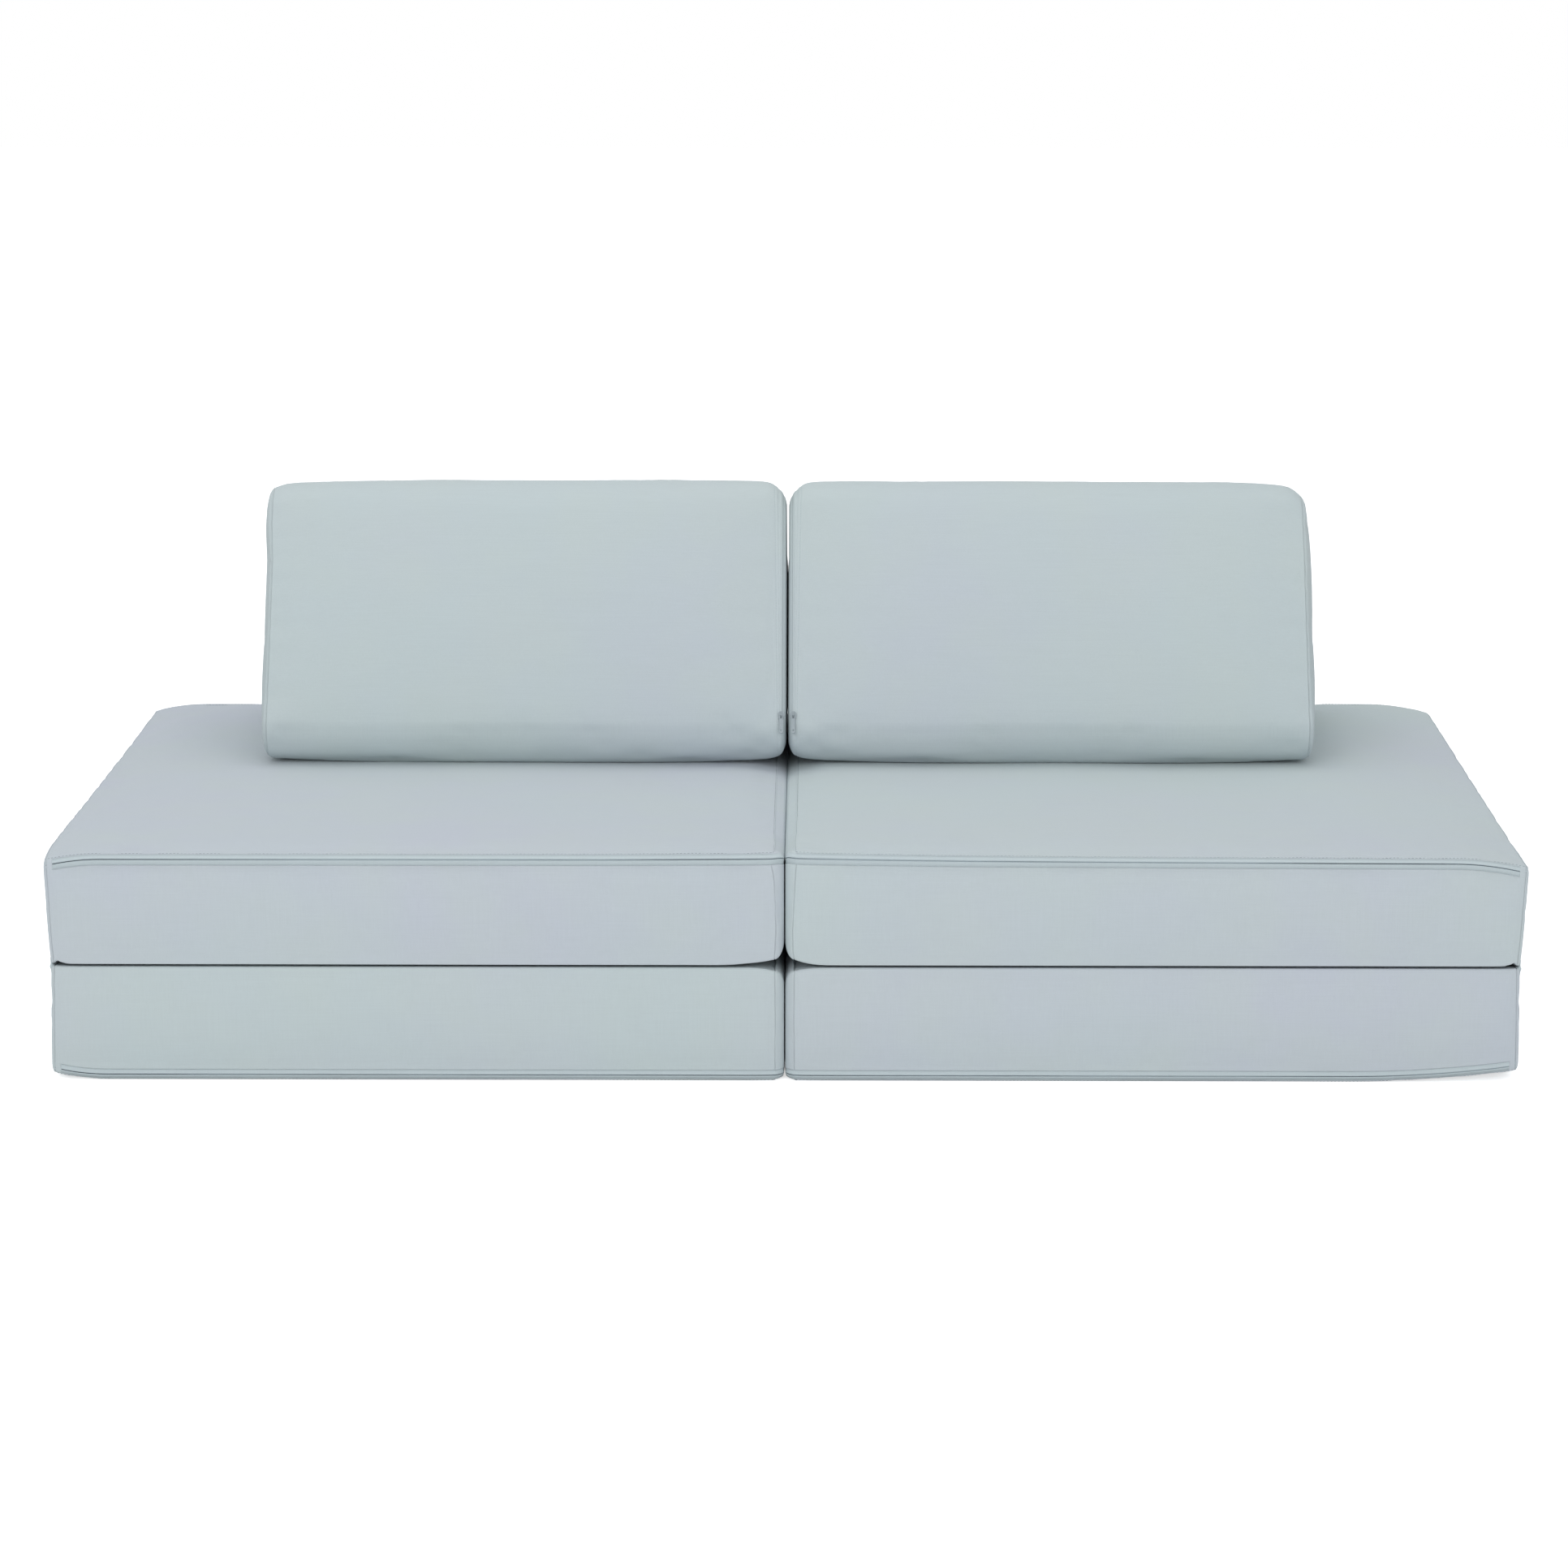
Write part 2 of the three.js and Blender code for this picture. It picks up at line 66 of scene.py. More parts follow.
WEDGE_BULGE, WEDGE_REACH, WEDGE_IN = 8.0, 14.0, 3.0  # its end caps: depth, rounding, inset
WEDGE_ZIP = 6.5  # from the inner tip to the zip's line
WEDGE_ZIP_START = 48.0  # height of the zip's two ends

# Finer sizes that only the dressed covers have
TOP_RADIUS, FOLD_RADIUS = 6.0, 2.4
FREE_CAP = dict(bulge=10.0, top=3.5, low=20.0, side=12.0)
HINGE_CAP = dict(bulge=4.0, top=9.0, low=4.0, side=5.0)
FREE_ROUND = 0.35  # share by which a free end's corner is rounder than a quarter circle
BAND_UP, BAND_DOWN = 5.6, 6.3  # reach of the zip's band from the zip's line
TAPE_UP, TAPE_DOWN = 5.1, 5.9
TOOTH_PITCH, TOOTH_HALF = 1.5, 0.36

# How deep the cloth is sunk: zip band, seams, hinge corners, piping line
SINK, SEAM_SINK, HINGE_SINK, PIPING_SINK = 0.9, 1.3, 1.5, 0.4
WEDGE_SEAM_SINK, WEDGE_BAND_SINK, WEDGE_STITCH_SINK = 1.4, 0.55, 0.35

# Simulation: the most that a cover may grow, and the cloth's pressure and stiffness
MAT_GROWTH, WEDGE_GROWTH = 3.5, 5.0
PRESSURE, STIFFNESS, STEPS = 2.5, 40.0, 20
PRESSED = 0.95  # share of the growth that an end loses where it presses on its neighbour
RIPPLES = (260, 0.8), (90, 0.3)  # wavelength and height
RIPPLE_REST = 0.6  # ripples lie mostly below the drawn surface


# Meshes


def new_object(name, points, faces):
    """A smooth mesh object from points in millimetres in the row frame, faces outwards."""
    mesh = bpy.data.meshes.new(name)
    corners = [list(dict.fromkeys(np.asarray(f).tolist())) for f in faces]
    mesh.from_pydata((np.asarray(points) * 0.001).tolist(), [], corners)
    mesh.update()
    mesh.shade_smooth()
    obj = bpy.data.objects.new(name, mesh)
    bpy.context.scene.collection.objects.link(obj)
    return obj


def volume(points, quads):
    a, b, c, d = (points[quads[:, i]] for i in range(4))
    total = np.einsum("ij,ij->i", a, np.cross(b, c)) + np.einsum("ij,ij->i", a, np.cross(c, d))
    return total.sum()


def outward(points, quads):
    """The quads, turned so that the closed skin they make faces outwards."""
    return quads if volume(points, quads) > 0 else quads[:, ::-1]


def normals(points, quads):
    """Unit normals at the points, from the quads' diagonals."""
    a, b, c, d = (points[quads[:, i]] for i in range(4))
    face = np.cross(c - a, d - b)
    total = np.zeros_like(points)
    for i in range(4):
        np.add.at(total, quads[:, i], face)
    return total / np.maximum(np.linalg.norm(total, axis=1), 1e-9)[:, None]


def unit(value):
    """The value, held between 0 and 1."""
    return np.clip(value, 0, 1)


def grid_index(rows, count):
    """Numbers of the points of a grid, row by row."""
    return np.arange(rows * count).reshape(rows, count)


def loop_quads(index):
    """Quads from each closed loop of points, a row of the index, to the next."""
    turned = np.roll(index, -1, axis=1)
    corners = index[:-1], turned[:-1], turned[1:], index[1:]
    return np.stack([c.ravel() for c in corners], axis=1)


def strip_quads(rows, count):
    """Quads of a closed strip of loops, with caps between each end loop's two halves."""
    index = grid_index(rows, count)
    caps = np.array([[i, i + 1, count - 2 - i, count - 1 - i] for i in range(count // 2 - 1)])
    return np.concatenate([loop_quads(index), index[0][caps][:, ::-1], index[-1][caps]])


def copies(points):
    """One small closed form at many places: points are (places, loops, 4, 3)."""
    places, loops = points.shape[:2]
    index = grid_index(loops, 4)
    quads = np.concatenate([loop_quads(index), index[:1, ::-1], index[-1:]])
    quads = outward(points[0].reshape(-1, 3), quads)
    faces = (np.arange(places) * index.size)[:, None, None] + quads
    return points.reshape(-1, 3), faces.reshape(-1, 4)


def joined(parts):
    """Several meshes as one."""
    points, faces, total = [], [], 0
    for p, f in parts:
        points.append(p)
        faces.append(f + total)
        total += len(p)
    return np.concatenate(points), np.concatenate(faces)


# Mat panel


def cap_station(seam, direction, cap, degrees):
    """One ring's place in a rounded end: its x and how far each side is drawn in."""
    angle = math.radians(degrees)
    drawn = 1 - math.cos(angle)
    turned = drawn * (1 - FREE_ROUND) + FREE_ROUND * math.sin(angle)
    return dict(
        x=seam + direction * cap["bulge"] * math.sin(angle),
        top=cap["top"] * drawn,
        low=cap["low"] * drawn,
        side=cap["side"] * (turned if direction > 0 else drawn),
        cap=degrees if direction > 0 else 0,
    )


def spread(start, end, first, last, cell):
    """Places from start to end: set steps from each end, and even cells between them."""
    low, high = start + np.array(first, float), end - np.array(last, float)[::-1]
    middle = np.linspace(low[-1], high[0], max(2, round((high[0] - low[-1]) / cell) + 1))
    return np.concatenate([low[:-1], middle, high[1:]])


def drop_at(x, shape):
    """How far the outer face falls at the hinged end, with its zip."""
    share = unit(1 - (x - HINGE_SEAM) / shape["drop_run"])
    return shape["drop"] * share**2


def raised(x, y, shape):
    """How far the panel's outer face stands up towards the front, at full height."""
    return np.interp(x, *zip(*shape["front"])) * unit(0.5 - y / HALF / 2) ** 2


def limits(station, shape):
    """Half depth, lowest and highest place of the section at one station."""
    x = station["x"]
    pull = shape["pull"] * math.exp(-max(0.0, x - HINGE_SEAM) / 9)
    pull += 1.2 * math.exp(-max(0.0, FREE_SEAM - x) / 8)
    near = float(unit(1 - (FREE_SEAM - x) / shape["lift_run"]))
    lift = shape["edge"] + shape["lift"] * near**2
    lift += float(np.interp(x - HINGE_SEAM, (0, 4, 8, 15), (0, shape["tuck"], shape["tuck"] * 0.3, 0)))
    half = HALF - station["side"] - pull
    drop = float(drop_at(x, shape))
    return half, LAYER + station["low"] + lift, THICK - station["top"] - drop


def side_at(z, half, low, high):
    """How far out the side stands at height z, between its limits."""
    start, end = low + FOLD_RADIUS, high - TOP_RADIUS
    share = unit((z - start) / (end - start))
    out = half + SIDE_BULGE * (1 - (2 * share - 1) ** 2)
    below, above = np.maximum(start - z, 0), np.maximum(z - end, 0)
    out = out - FOLD_RADIUS + np.sqrt(np.maximum(FOLD_RADIUS**2 - below**2, 0))
    return out - TOP_RADIUS + np.sqrt(np.maximum(TOP_RADIUS**2 - above**2, 0))


def side_lines(lines, station, low, high, drop):
    """Heights of the side's rows at one station, and the angle of its top corner's row."""
    zip_z = ZIP_Z - drop
    angles = np.radians([-45.0, -22.0, 0.0])
    arc = low + FOLD_RADIUS * (1 + np.sin(angles))
    rows = arc[-1] + lines["side"] * (zip_z + lines["below"][0] - arc[-1])
    sine = (TOP_RADIUS - 1.4 + station["top"]) / TOP_RADIUS
    corner = math.asin(sine) if sine <= 1 else math.radians(90 - 30 * (station["cap"] - 53) / 37)
    top = high - TOP_RADIUS * (1 - math.sin(corner))
    above = zip_z + lines["above"] * (top - zip_z)
    return np.concatenate([arc, rows[1:-1], zip_z + lines["below"], above]), corner


def panel_ring(station, shape, lines):
    """One closed ring of the skin: up the front, over the top and round.

    Its columns are x, y, z and the height that the zip is measured from.
    """
    x = station["x"]
    half, low, high = limits(station, shape)
    rows, corner = side_lines(lines, station, low, high, float(drop_at(x, shape)))
    out = side_at(rows, half, low, high)
    mid = (FREE_SEAM + HINGE_SEAM) / 2
    across = min(1.0, abs(x - mid) / ((FREE_SEAM - HINGE_SEAM) / 2))
    arc = np.linspace(corner, math.pi / 2, 4)[1:-1]
    flat = lines["top"] * (half - TOP_RADIUS)
    arc_y = half - TOP_RADIUS * (1 - np.cos(arc))
    arc_z = high - TOP_RADIUS * (1 - np.sin(arc))
    rise = shape["crown"] * (1 - np.abs(flat / half) ** 8) * (1 - across**4)
    share = unit(0.5 + flat / half / 2)
    back = shape["full"][0] * (1 - share) + shape["full"][1] * share
    away = 1 - np.exp((np.abs(flat) - half + TOP_RADIUS) / 30)
    rise = rise + back * float(drop_at(x, shape)) * away
    top_y = np.concatenate([-arc_y, flat, arc_y[::-1]])
    top_z = np.concatenate([arc_z, high + rise, arc_z[::-1]])
    under = np.radians([-68.0])
    under_y = half - FOLD_RADIUS * (1 - np.cos(under))
    under_z = low + FOLD_RADIUS * (1 + np.sin(under))
    flat_low = lines["top"] * (half - FOLD_RADIUS)
    inward = unit((1 - np.abs(lines["top"])) / 0.06)
    rest = low - shape["edge"] * inward * (1 if station["low"] == 0 else 0)
    low_y = np.concatenate([under_y, flat_low[::-1], -under_y])
    low_z = np.concatenate([under_z, rest[::-1], under_z])
    y = np.concatenate([-out, top_y, out[::-1], low_y])
    z = np.concatenate([rows, top_z, rows[::-1], low_z])
    towards = unit((FREE_SEAM - x) / (FREE_SEAM - HINGE_SEAM))
    shift = shape["lean"] * towards * z / THICK
    into = x - FREE_SEAM
    near = math.exp(-max(0.0, -into) / 12) * (1 - max(0.0, into) / FREE_CAP["bulge"])
    places, wander = zip(*shape["wander"])
    along = np.interp(z, places, wander) * near * unit((np.abs(y) - half + 30) / 20)
    along = along * np.where(y > 0, -0.6, 1)
    corner = np.hypot(x - HINGE_SEAM, np.maximum(0, half - y))
    upper = unit(z / THICK) ** 3
    z = z - shape["droop"] * unit(1 - corner / 80) ** 1.5 * upper
    lift = raised(x, y, shape) * upper
    outer = float(unit((-x - 640) / 60))
    rearward = unit(0.5 + y / half / 2) ** 2
    z = z + shape["rear"] * rearward * outer * (3 - 2 * outer) * outer * upper
    return np.stack([x - shift + along, y, z + lift, z], axis=1)


def end_grid(ring, rows, columns, swell):
    """Points that fill a flat end inside its ring, by height rows and by columns."""
    side = ring[: rows + 1]
    top = ring[rows : rows + columns + 1]
    low = np.concatenate([ring[2 * rows + columns :], ring[:1]])[::-1]
    y_side = -side[:, 1]
    k = np.arange(1, rows)
    share = (k / rows)[:, None]
    u = (1 - share) * low[1:-1, 1] / y_side[0] + share * top[1:-1, 1] / y_side[-1]
    y = u * y_side[k][:, None]
    near_top = unit((k - (rows - 4)) / 4)[:, None]
    near_low = unit((4 - k) / 4)[:, None]
    other = ring[rows + columns : 2 * rows + columns + 1][::-1]
    across = (y / y_side[k][:, None] + 1) / 2
    heights = []
    for i in (2, 3):
        above = top[1:-1, i] - (top[0, i] * (1 - across) + top[-1, i] * across)
        below = low[1:-1, i] - (low[0, i] * (1 - across) + low[-1, i] * across)
        straight = side[k, i][:, None] * (1 - across) + other[k, i][:, None] * across
        heights.append(straight + near_top * above + near_low * below)
    x = side[k, 0][:, None] + np.zeros_like(y)
    full = (1 - (2 * across - 1) ** 4) * np.sin(np.pi * unit(share)) ** 0.7
    return np.stack([x + swell * full, y, *heights], axis=2)


def panel_mesh(shape, lines):
    """The panel's closed skin, and for each point its ring place, zip offset, x and end."""
    caps_free = [cap_station(FREE_SEAM, 1, FREE_CAP, d) for d in lines["free"]]
    caps_hinge = [cap_station(HINGE_SEAM, -1, HINGE_CAP, d) for d in lines["hinge"]]
    run = [dict(x=x, top=0, low=0, side=0, cap=0) for x in lines["run"]]
    stations = caps_hinge[::-1] + run + caps_free
    rings = np.array([panel_ring(s, shape, lines) for s in stations])
    rows = 3 + len(lines["side"]) - 2 + len(lines["below"]) + len(lines["above"]) - 1
    count = rings.shape[1]
    columns = (count - 2 * rows) // 2
    points = [rings[:, :, :3].reshape(-1, 3)]
    total = len(stations) * count
    ring_index = grid_index(len(stations), count)
    quads = [loop_quads(ring_index)]
    zip_z = [ZIP_Z - float(drop_at(s["x"], shape)) for s in stations]
    info = dict(
        ring=np.tile(np.arange(count), len(stations)),
        offset=(rings[:, :, 3] - np.array(zip_z)[:, None]).ravel(),
        x=np.repeat([s["x"] for s in stations], count),
        cap=np.repeat([s["cap"] for s in stations], count),
        end=np.zeros(total, int),
    )
    for which, end in ((0, -1), (len(stations) - 1, 1)):
        grid = end_grid(rings[which], rows, columns, -shape["swell"] if end < 0 else 0)
        n = grid.shape[0] * grid.shape[1]
        inner = total + grid_index(*grid.shape[:2])
        loop = ring_index[which]
        whole = np.zeros((rows + 1, columns + 1), int)
        whole[:, 0] = loop[: rows + 1]
        whole[rows, :] = loop[rows : rows + columns + 1]
        whole[:, columns] = loop[rows + columns : 2 * rows + columns + 1][::-1]
        whole[0, :] = np.append(loop[2 * rows + columns :], loop[0])[::-1]
        whole[1:rows, 1:columns] = inner
        corners = whole[:-1, :-1], whole[:-1, 1:], whole[1:, 1:], whole[1:, :-1]
        face = np.stack([c.ravel() for c in corners], axis=1)
        quads.append(face[:, ::-end])
        points.append(grid[:, :, :3].reshape(-1, 3))
        added = dict(
            ring=np.full(n, -1),
            offset=grid[:, :, 3].ravel() - zip_z[which],
            x=np.full(n, stations[which]["x"]),
            cap=np.full(n, stations[which]["cap"]),
            end=np.full(n, end),
        )
        info = {key: np.append(info[key], more) for key, more in added.items()}
        total += n
    points = np.concatenate(points)
    into = unit((points[:, 0] - FREE_SEAM) / FREE_CAP["bulge"])
    deep = unit((HALF - np.abs(points[:, 1])) / 30)
    upper = unit(points[:, 2] / THICK) ** 3
    points[:, 2] -= shape["dip"] * into**1.2 * deep**2 * (3 - 2 * deep) * upper
    quads = np.concatenate(quads)
    info.update(rows=rows, columns=columns, ring_index=ring_index, end_grid=whole)
    return points, outward(points, quads), info


FINE = dict(
    side=np.linspace(0, 1, 13),
    below=np.array([-BAND_DOWN - 1.2, -BAND_DOWN - 0.15, -BAND_DOWN + 0.25, -3.5, -1.0]),
    above=np.array([0.18, 0.55, 0.93, 1.0]),
    top=spread(-1, 1, *[[0, 0.003, 0.007, 0.012, 0.018, 0.026, 0.038, 0.055]] * 2, 0.022),
    free=[2.5, 8, 15, 23, 32, 40, 48, 53.13, 58, 65, 73, 81.5, 90],
    hinge=[8, 20, 35, 52, 70, 90],
    run=spread(
        HINGE_SEAM, FREE_SEAM,
        [0, 0.5, 1.3, 3, 5, 6.9, 7.3, 10, 14, 19, 25],
        [0, 0.5, 1.2, 2, 3, 4, 5.2, 7, 10, 14, 20, 28], 9,
    ),
)
COARSE = dict(
    side=np.linspace(0, 1, 8),
    below=np.array([-BAND_DOWN, -1.0]),
    above=np.array([0.5, 1.0]),
    top=spread(-1, 1, [0, 0.03], [0, 0.03], 0.034),
    free=[30, 53.13, 90],
    hinge=[45, 90],
    run=spread(HINGE_SEAM, FREE_SEAM, [0, 12], [0, 12], 15),
)


def panel_held(points, info, grounded):
    """Where the cloth can't move: seams, the zip's band, and the faces that rest flat."""
    rows, columns = info["rows"], info["columns"]
    side = (info["ring"] >= 0) & (info["ring"] <= rows)
    side |= (info["ring"] >= rows + columns) & (info["ring"] <= 2 * rows + columns)
    band = (info["offset"] > -BAND_DOWN - 0.5) & (side | (info["end"] == 1) | (info["cap"] > 50))
    corner = np.isin(info["ring"], [0, rows, rows + columns, 2 * rows + columns])
    seam = np.isclose(info["x"], HINGE_SEAM) | (np.isclose(info["x"], FREE_SEAM) & side)
    flat = points[:, 2] < LAYER + 5.4
    if grounded:
        flat |= points[:, 2] > THICK - 0.6
    return band | corner | seam | flat


def inflate(name, points, quads, held, most):
    """The cloth simulation: a sewn cover blown up from inside, held at its seams."""
    obj = new_object(name, points, quads)
    group = obj.vertex_groups.new(name="held")
    group.add(np.flatnonzero(held).tolist(), 1.0, "REPLACE")
    cloth = obj.modifiers.new("Cloth", "CLOTH")
    settings = dict(
        quality=4, mass=0.3, tension_stiffness=STIFFNESS, compression_stiffness=STIFFNESS,
        shear_stiffness=STIFFNESS / 3, bending_stiffness=0.5, air_damping=4, use_pressure=True,
        uniform_pressure_force=PRESSURE, vertex_group_mass="held", pin_stiffness=1, shrink_min=-0.004,
    )
    for key, value in settings.items():
        setattr(cloth.settings, key, value)
    cloth.settings.effector_weights.gravity = 0
    cloth.collision_settings.use_collision = False
    scene = bpy.context.scene
    scene.frame_start, scene.frame_end = 1, STEPS
    for step in range(1, STEPS + 1):
        scene.frame_set(step)
    evaluated = obj.evaluated_get(bpy.context.evaluated_depsgraph_get())
    moved = np.zeros(len(points) * 3, np.float32)
    evaluated.data.vertices.foreach_get("co", moved)
    shift = moved.reshape(-1, 3) * 1000 - points
    scene.frame_set(1)
    mesh = obj.data
    bpy.data.objects.remove(obj)
    bpy.data.meshes.remove(mesh)
    length = np.linalg.norm(shift, axis=1)
    kept = most * np.tanh(length / most)
    return shift * (kept / np.maximum(length, 1e-9))[:, None]


def carried(points, sources, shifts, count=6):
    """The simulated shifts at other points near the simulated ones."""
    tree = KDTree(len(sources))
    for i, p in enumerate(sources):
        tree.insert(p, i)
    tree.balance()
    result = np.zeros_like(points)
    for i, p in enumerate(points):
        total = 0.0
        for _, index, distance in tree.find_n(p, count):
            weight = 1 / (distance + 0.5) ** 2
            result[i] += weight * shifts[index]
            total += weight
        result[i] /= total
    return result


def smooth_noise(points, seed, scale):
    """Soft noise from two octaves of sine waves in seeded directions, about -1 to 1."""
    waves = 6
    draw = np.random.default_rng(seed)
    total = np.zeros(len(points))
    for octave in range(2):
        for _ in range(waves):
            direction = draw.normal(size=3)
            direction *= (2**octave) * 2 * math.pi / scale / np.linalg.norm(direction)
            total += np.sin(points @ direction + draw.uniform(0, 2 * math.pi)) / 2**octave
    return total / (waves * 1.5) * 1.6


def surface_points(name, full, coarse, held, most, seed, still):
    """A skin's points once simulated and softly rippled, before its seams are sunk."""
    points, quads = full
    loose = 1.0 - held[0]
    shift = carried(points, coarse[0], inflate(name, *coarse, held[1], most))
    ripple = sum(smooth_noise(points, seed + i, scale) * h for i, (scale, h) in enumerate(RIPPLES))
    ripple = (ripple - RIPPLE_REST) * loose * still
    return points + shift * loose[:, None] + normals(points, quads) * ripple[:, None]


class Sheet:
    """Cloth along a zip, as rows across by places along, to lay tape and thread on."""

    def __init__(self, points, facing, offsets, line):
        """The places along are measured on the row numbered line."""
        self.points, self.facing, self.offsets = points, facing, offsets
        steps = np.linalg.norm(np.diff(points[line], axis=0), axis=1)
        self.along = np.concatenate([[0], np.cumsum(steps)])

    def at(self, along, across, lift):
        """Points at places along and across, lifted off the cloth; the arrays broadcast."""
        along, across, lift = np.broadcast_arrays(along, across, lift)
        s, o, h = along.ravel(), across.ravel(), lift.ravel()
        i = np.clip(np.searchsorted(self.along, s) - 1, 0, len(self.along) - 2)
        f = (s - self.along[i]) / (self.along[i + 1] - self.along[i])

        def between(values):
            w = f if values.ndim == 2 else f[:, None]
            return values[:, i] * (1 - w) + values[:, i + 1] * w

        offsets, points, facing = (between(v) for v in (self.offsets, self.points, self.facing))
        o = np.where(o > 0, o * np.minimum(1, offsets[-1] / BAND_UP), o)
        j = np.clip((offsets <= o).sum(axis=0) - 1, 0, len(offsets) - 2)
        n = np.arange(len(s))
        g = ((o - offsets[j, n]) / (offsets[j + 1, n] - offsets[j, n]))[:, None]
        here = points[j, n] * (1 - g) + points[j + 1, n] * g
        out = facing[j, n] * (1 - g) + facing[j + 1, n] * g
        out /= np.linalg.norm(out, axis=1)[:, None]
        return (here + out * h[:, None]).reshape(*along.shape, 3)


def ribbon(sheet, start, end, profile):
    """A closed strip along a sheet. The profile is a loop of (across, lift), even in number."""
    grid = sheet.along[(sheet.along > start + 0.3) & (sheet.along < end - 0.3)]
    along = np.concatenate([[start], grid, [end]])
    across, lift = np.array(profile, float).T
    points = sheet.at(along[:, None], across[None], lift[None]).reshape(-1, 3)
    return points, outward(points, strip_quads(len(along), len(profile)))


def smoothed(path):
    """An open line with its corners cut twice."""
    for _ in range(2):
        near, far = path[:-1] * 0.75 + path[1:] * 0.25, path[:-1] * 0.25 + path[1:] * 0.75
        cut = np.stack([near, far], axis=1).reshape(-1, path.shape[1])
        path = np.concatenate([path[:1], cut, path[-1:]])
    return path


def stitches(path, out, pitch, radius, length, lift):
    """A row of thread stitches along a line of points, with the cloth's normals there."""
    steps = np.linalg.norm(np.diff(path, axis=0), axis=1)
    along = np.concatenate([[0], np.cumsum(steps)])
    places = np.arange(pitch / 2, along[-1] - pitch / 2, pitch)

    def at(values, where):
        return np.stack([np.interp(where, along, values[:, i]) for i in range(3)], axis=1)

    middle, up = at(path, places), at(out, places)
    ahead = at(path, places + length / 2) - at(path, places - length / 2)
    ahead /= np.linalg.norm(ahead, axis=1)[:, None]
    across = np.cross(up, ahead)
    across /= np.linalg.norm(across, axis=1)[:, None]
    up = np.cross(ahead, across)
    points = []
    # Four loops along a stitch: place, thickness and depth; the ends dip into the cloth
    for share, size, sunk in ((-0.5, 0.5, 0.25), (-0.3, 1, 0), (0.3, 1, 0), (0.5, 0.5, 0.25)):
        for angle in np.arange(4) * math.pi / 2:
            a, b = math.cos(angle) * radius * size, math.sin(angle) * radius * size
            points.append(middle + ahead * share * length + across * a + up * (b + lift - sunk))
    return copies(np.stack(points, axis=1).reshape(len(places), 4, 4, 3))


def topstitch_path(skin, facing, info):
    """The line just above the zip's band: along the front, the free end's top and the rear."""
    rows, columns, rings = info["rows"], info["columns"], info["ring_index"]
    xs = np.array([info["x"][r[0]] for r in rings])
    run = np.flatnonzero((xs > HINGE_SEAM + 1) & (xs < FREE_SEAM - 2.5))
    turn = int(np.argmin(np.abs(xs - (FREE_SEAM - 1.2))))
    near, beyond = rings[run, rows], rings[run, rows + 1]
    rear_near, rear_beyond = rings[run, rows + columns], rings[run, rows + columns - 1]
    end = rings[turn, rows + 4 : rows + columns - 3]

    def line(values):
        front = values[near] * 0.3 + values[beyond] * 0.7
        rear = values[rear_near] * 0.3 + values[rear_beyond] * 0.7
        middle = values[end]
        first = [middle[0, 0], front[-1, 1], (middle[0, 2] + front[-1, 2]) / 2]
        last = [middle[-1, 0], rear[-1, 1], (middle[-1, 2] + rear[-1, 2]) / 2]
        return smoothed(np.concatenate([front, [first], middle, [last], rear[::-1]]))

    return line(skin), line(facing)


def zip_parts(sheet, start, end, upper, lower):
    """The zip's two tape halves with their teeth, and the dark coil line between them."""
    def half(reach, turn):
        loop = (
            (reach, -1.3), (reach, -0.6), (2.1, -0.55), (1.9, -0.3),
            (0.75, -0.3), (0.5, -0.5), (0.5, -1.0), (1.2, -1.3),
        )
        tape = ribbon(sheet, start, end, [(turn * across, lift) for across, lift in loop])
        places = np.arange(start + 1, end - 1, TOOTH_PITCH) + (TOOTH_PITCH / 2 if turn > 0 else 0)
        along = places[:, None, None] + np.array([-TOOTH_HALF, TOOTH_HALF])[:, None]
        across = turn * np.array([0.62, 1.75, 1.75, 0.62])
        lift = np.array([-0.8, -0.8, -0.1, -0.1])
        return joined([tape, copies(sheet.at(along, across, lift))])

    low, high = -1.3, -0.75
    coil = [(-0.6, low), (0.6, low), (0.6, high), (-0.6, high)]
    return half(upper, 1), half(lower, -1), ribbon(sheet, start - 0.5, end + 0.5, coil)


def panel_sheet(points, facing, info):
    """The run of cloth that carries a panel's zip: front, free end, rear."""
    rows, columns, whole = info["rows"], info["columns"], info["end_grid"]
    low = rows - 8
    rings = info["ring_index"]
    front = rings[:, low : rows + 1].T
    rear = rings[::-1, rows + columns : rows + columns + 9].T[::-1]
    index = np.concatenate([front, whole[low:, 1:-1], rear], axis=1)
    return Sheet(points[index], facing[index], info["offset"][index], 4)


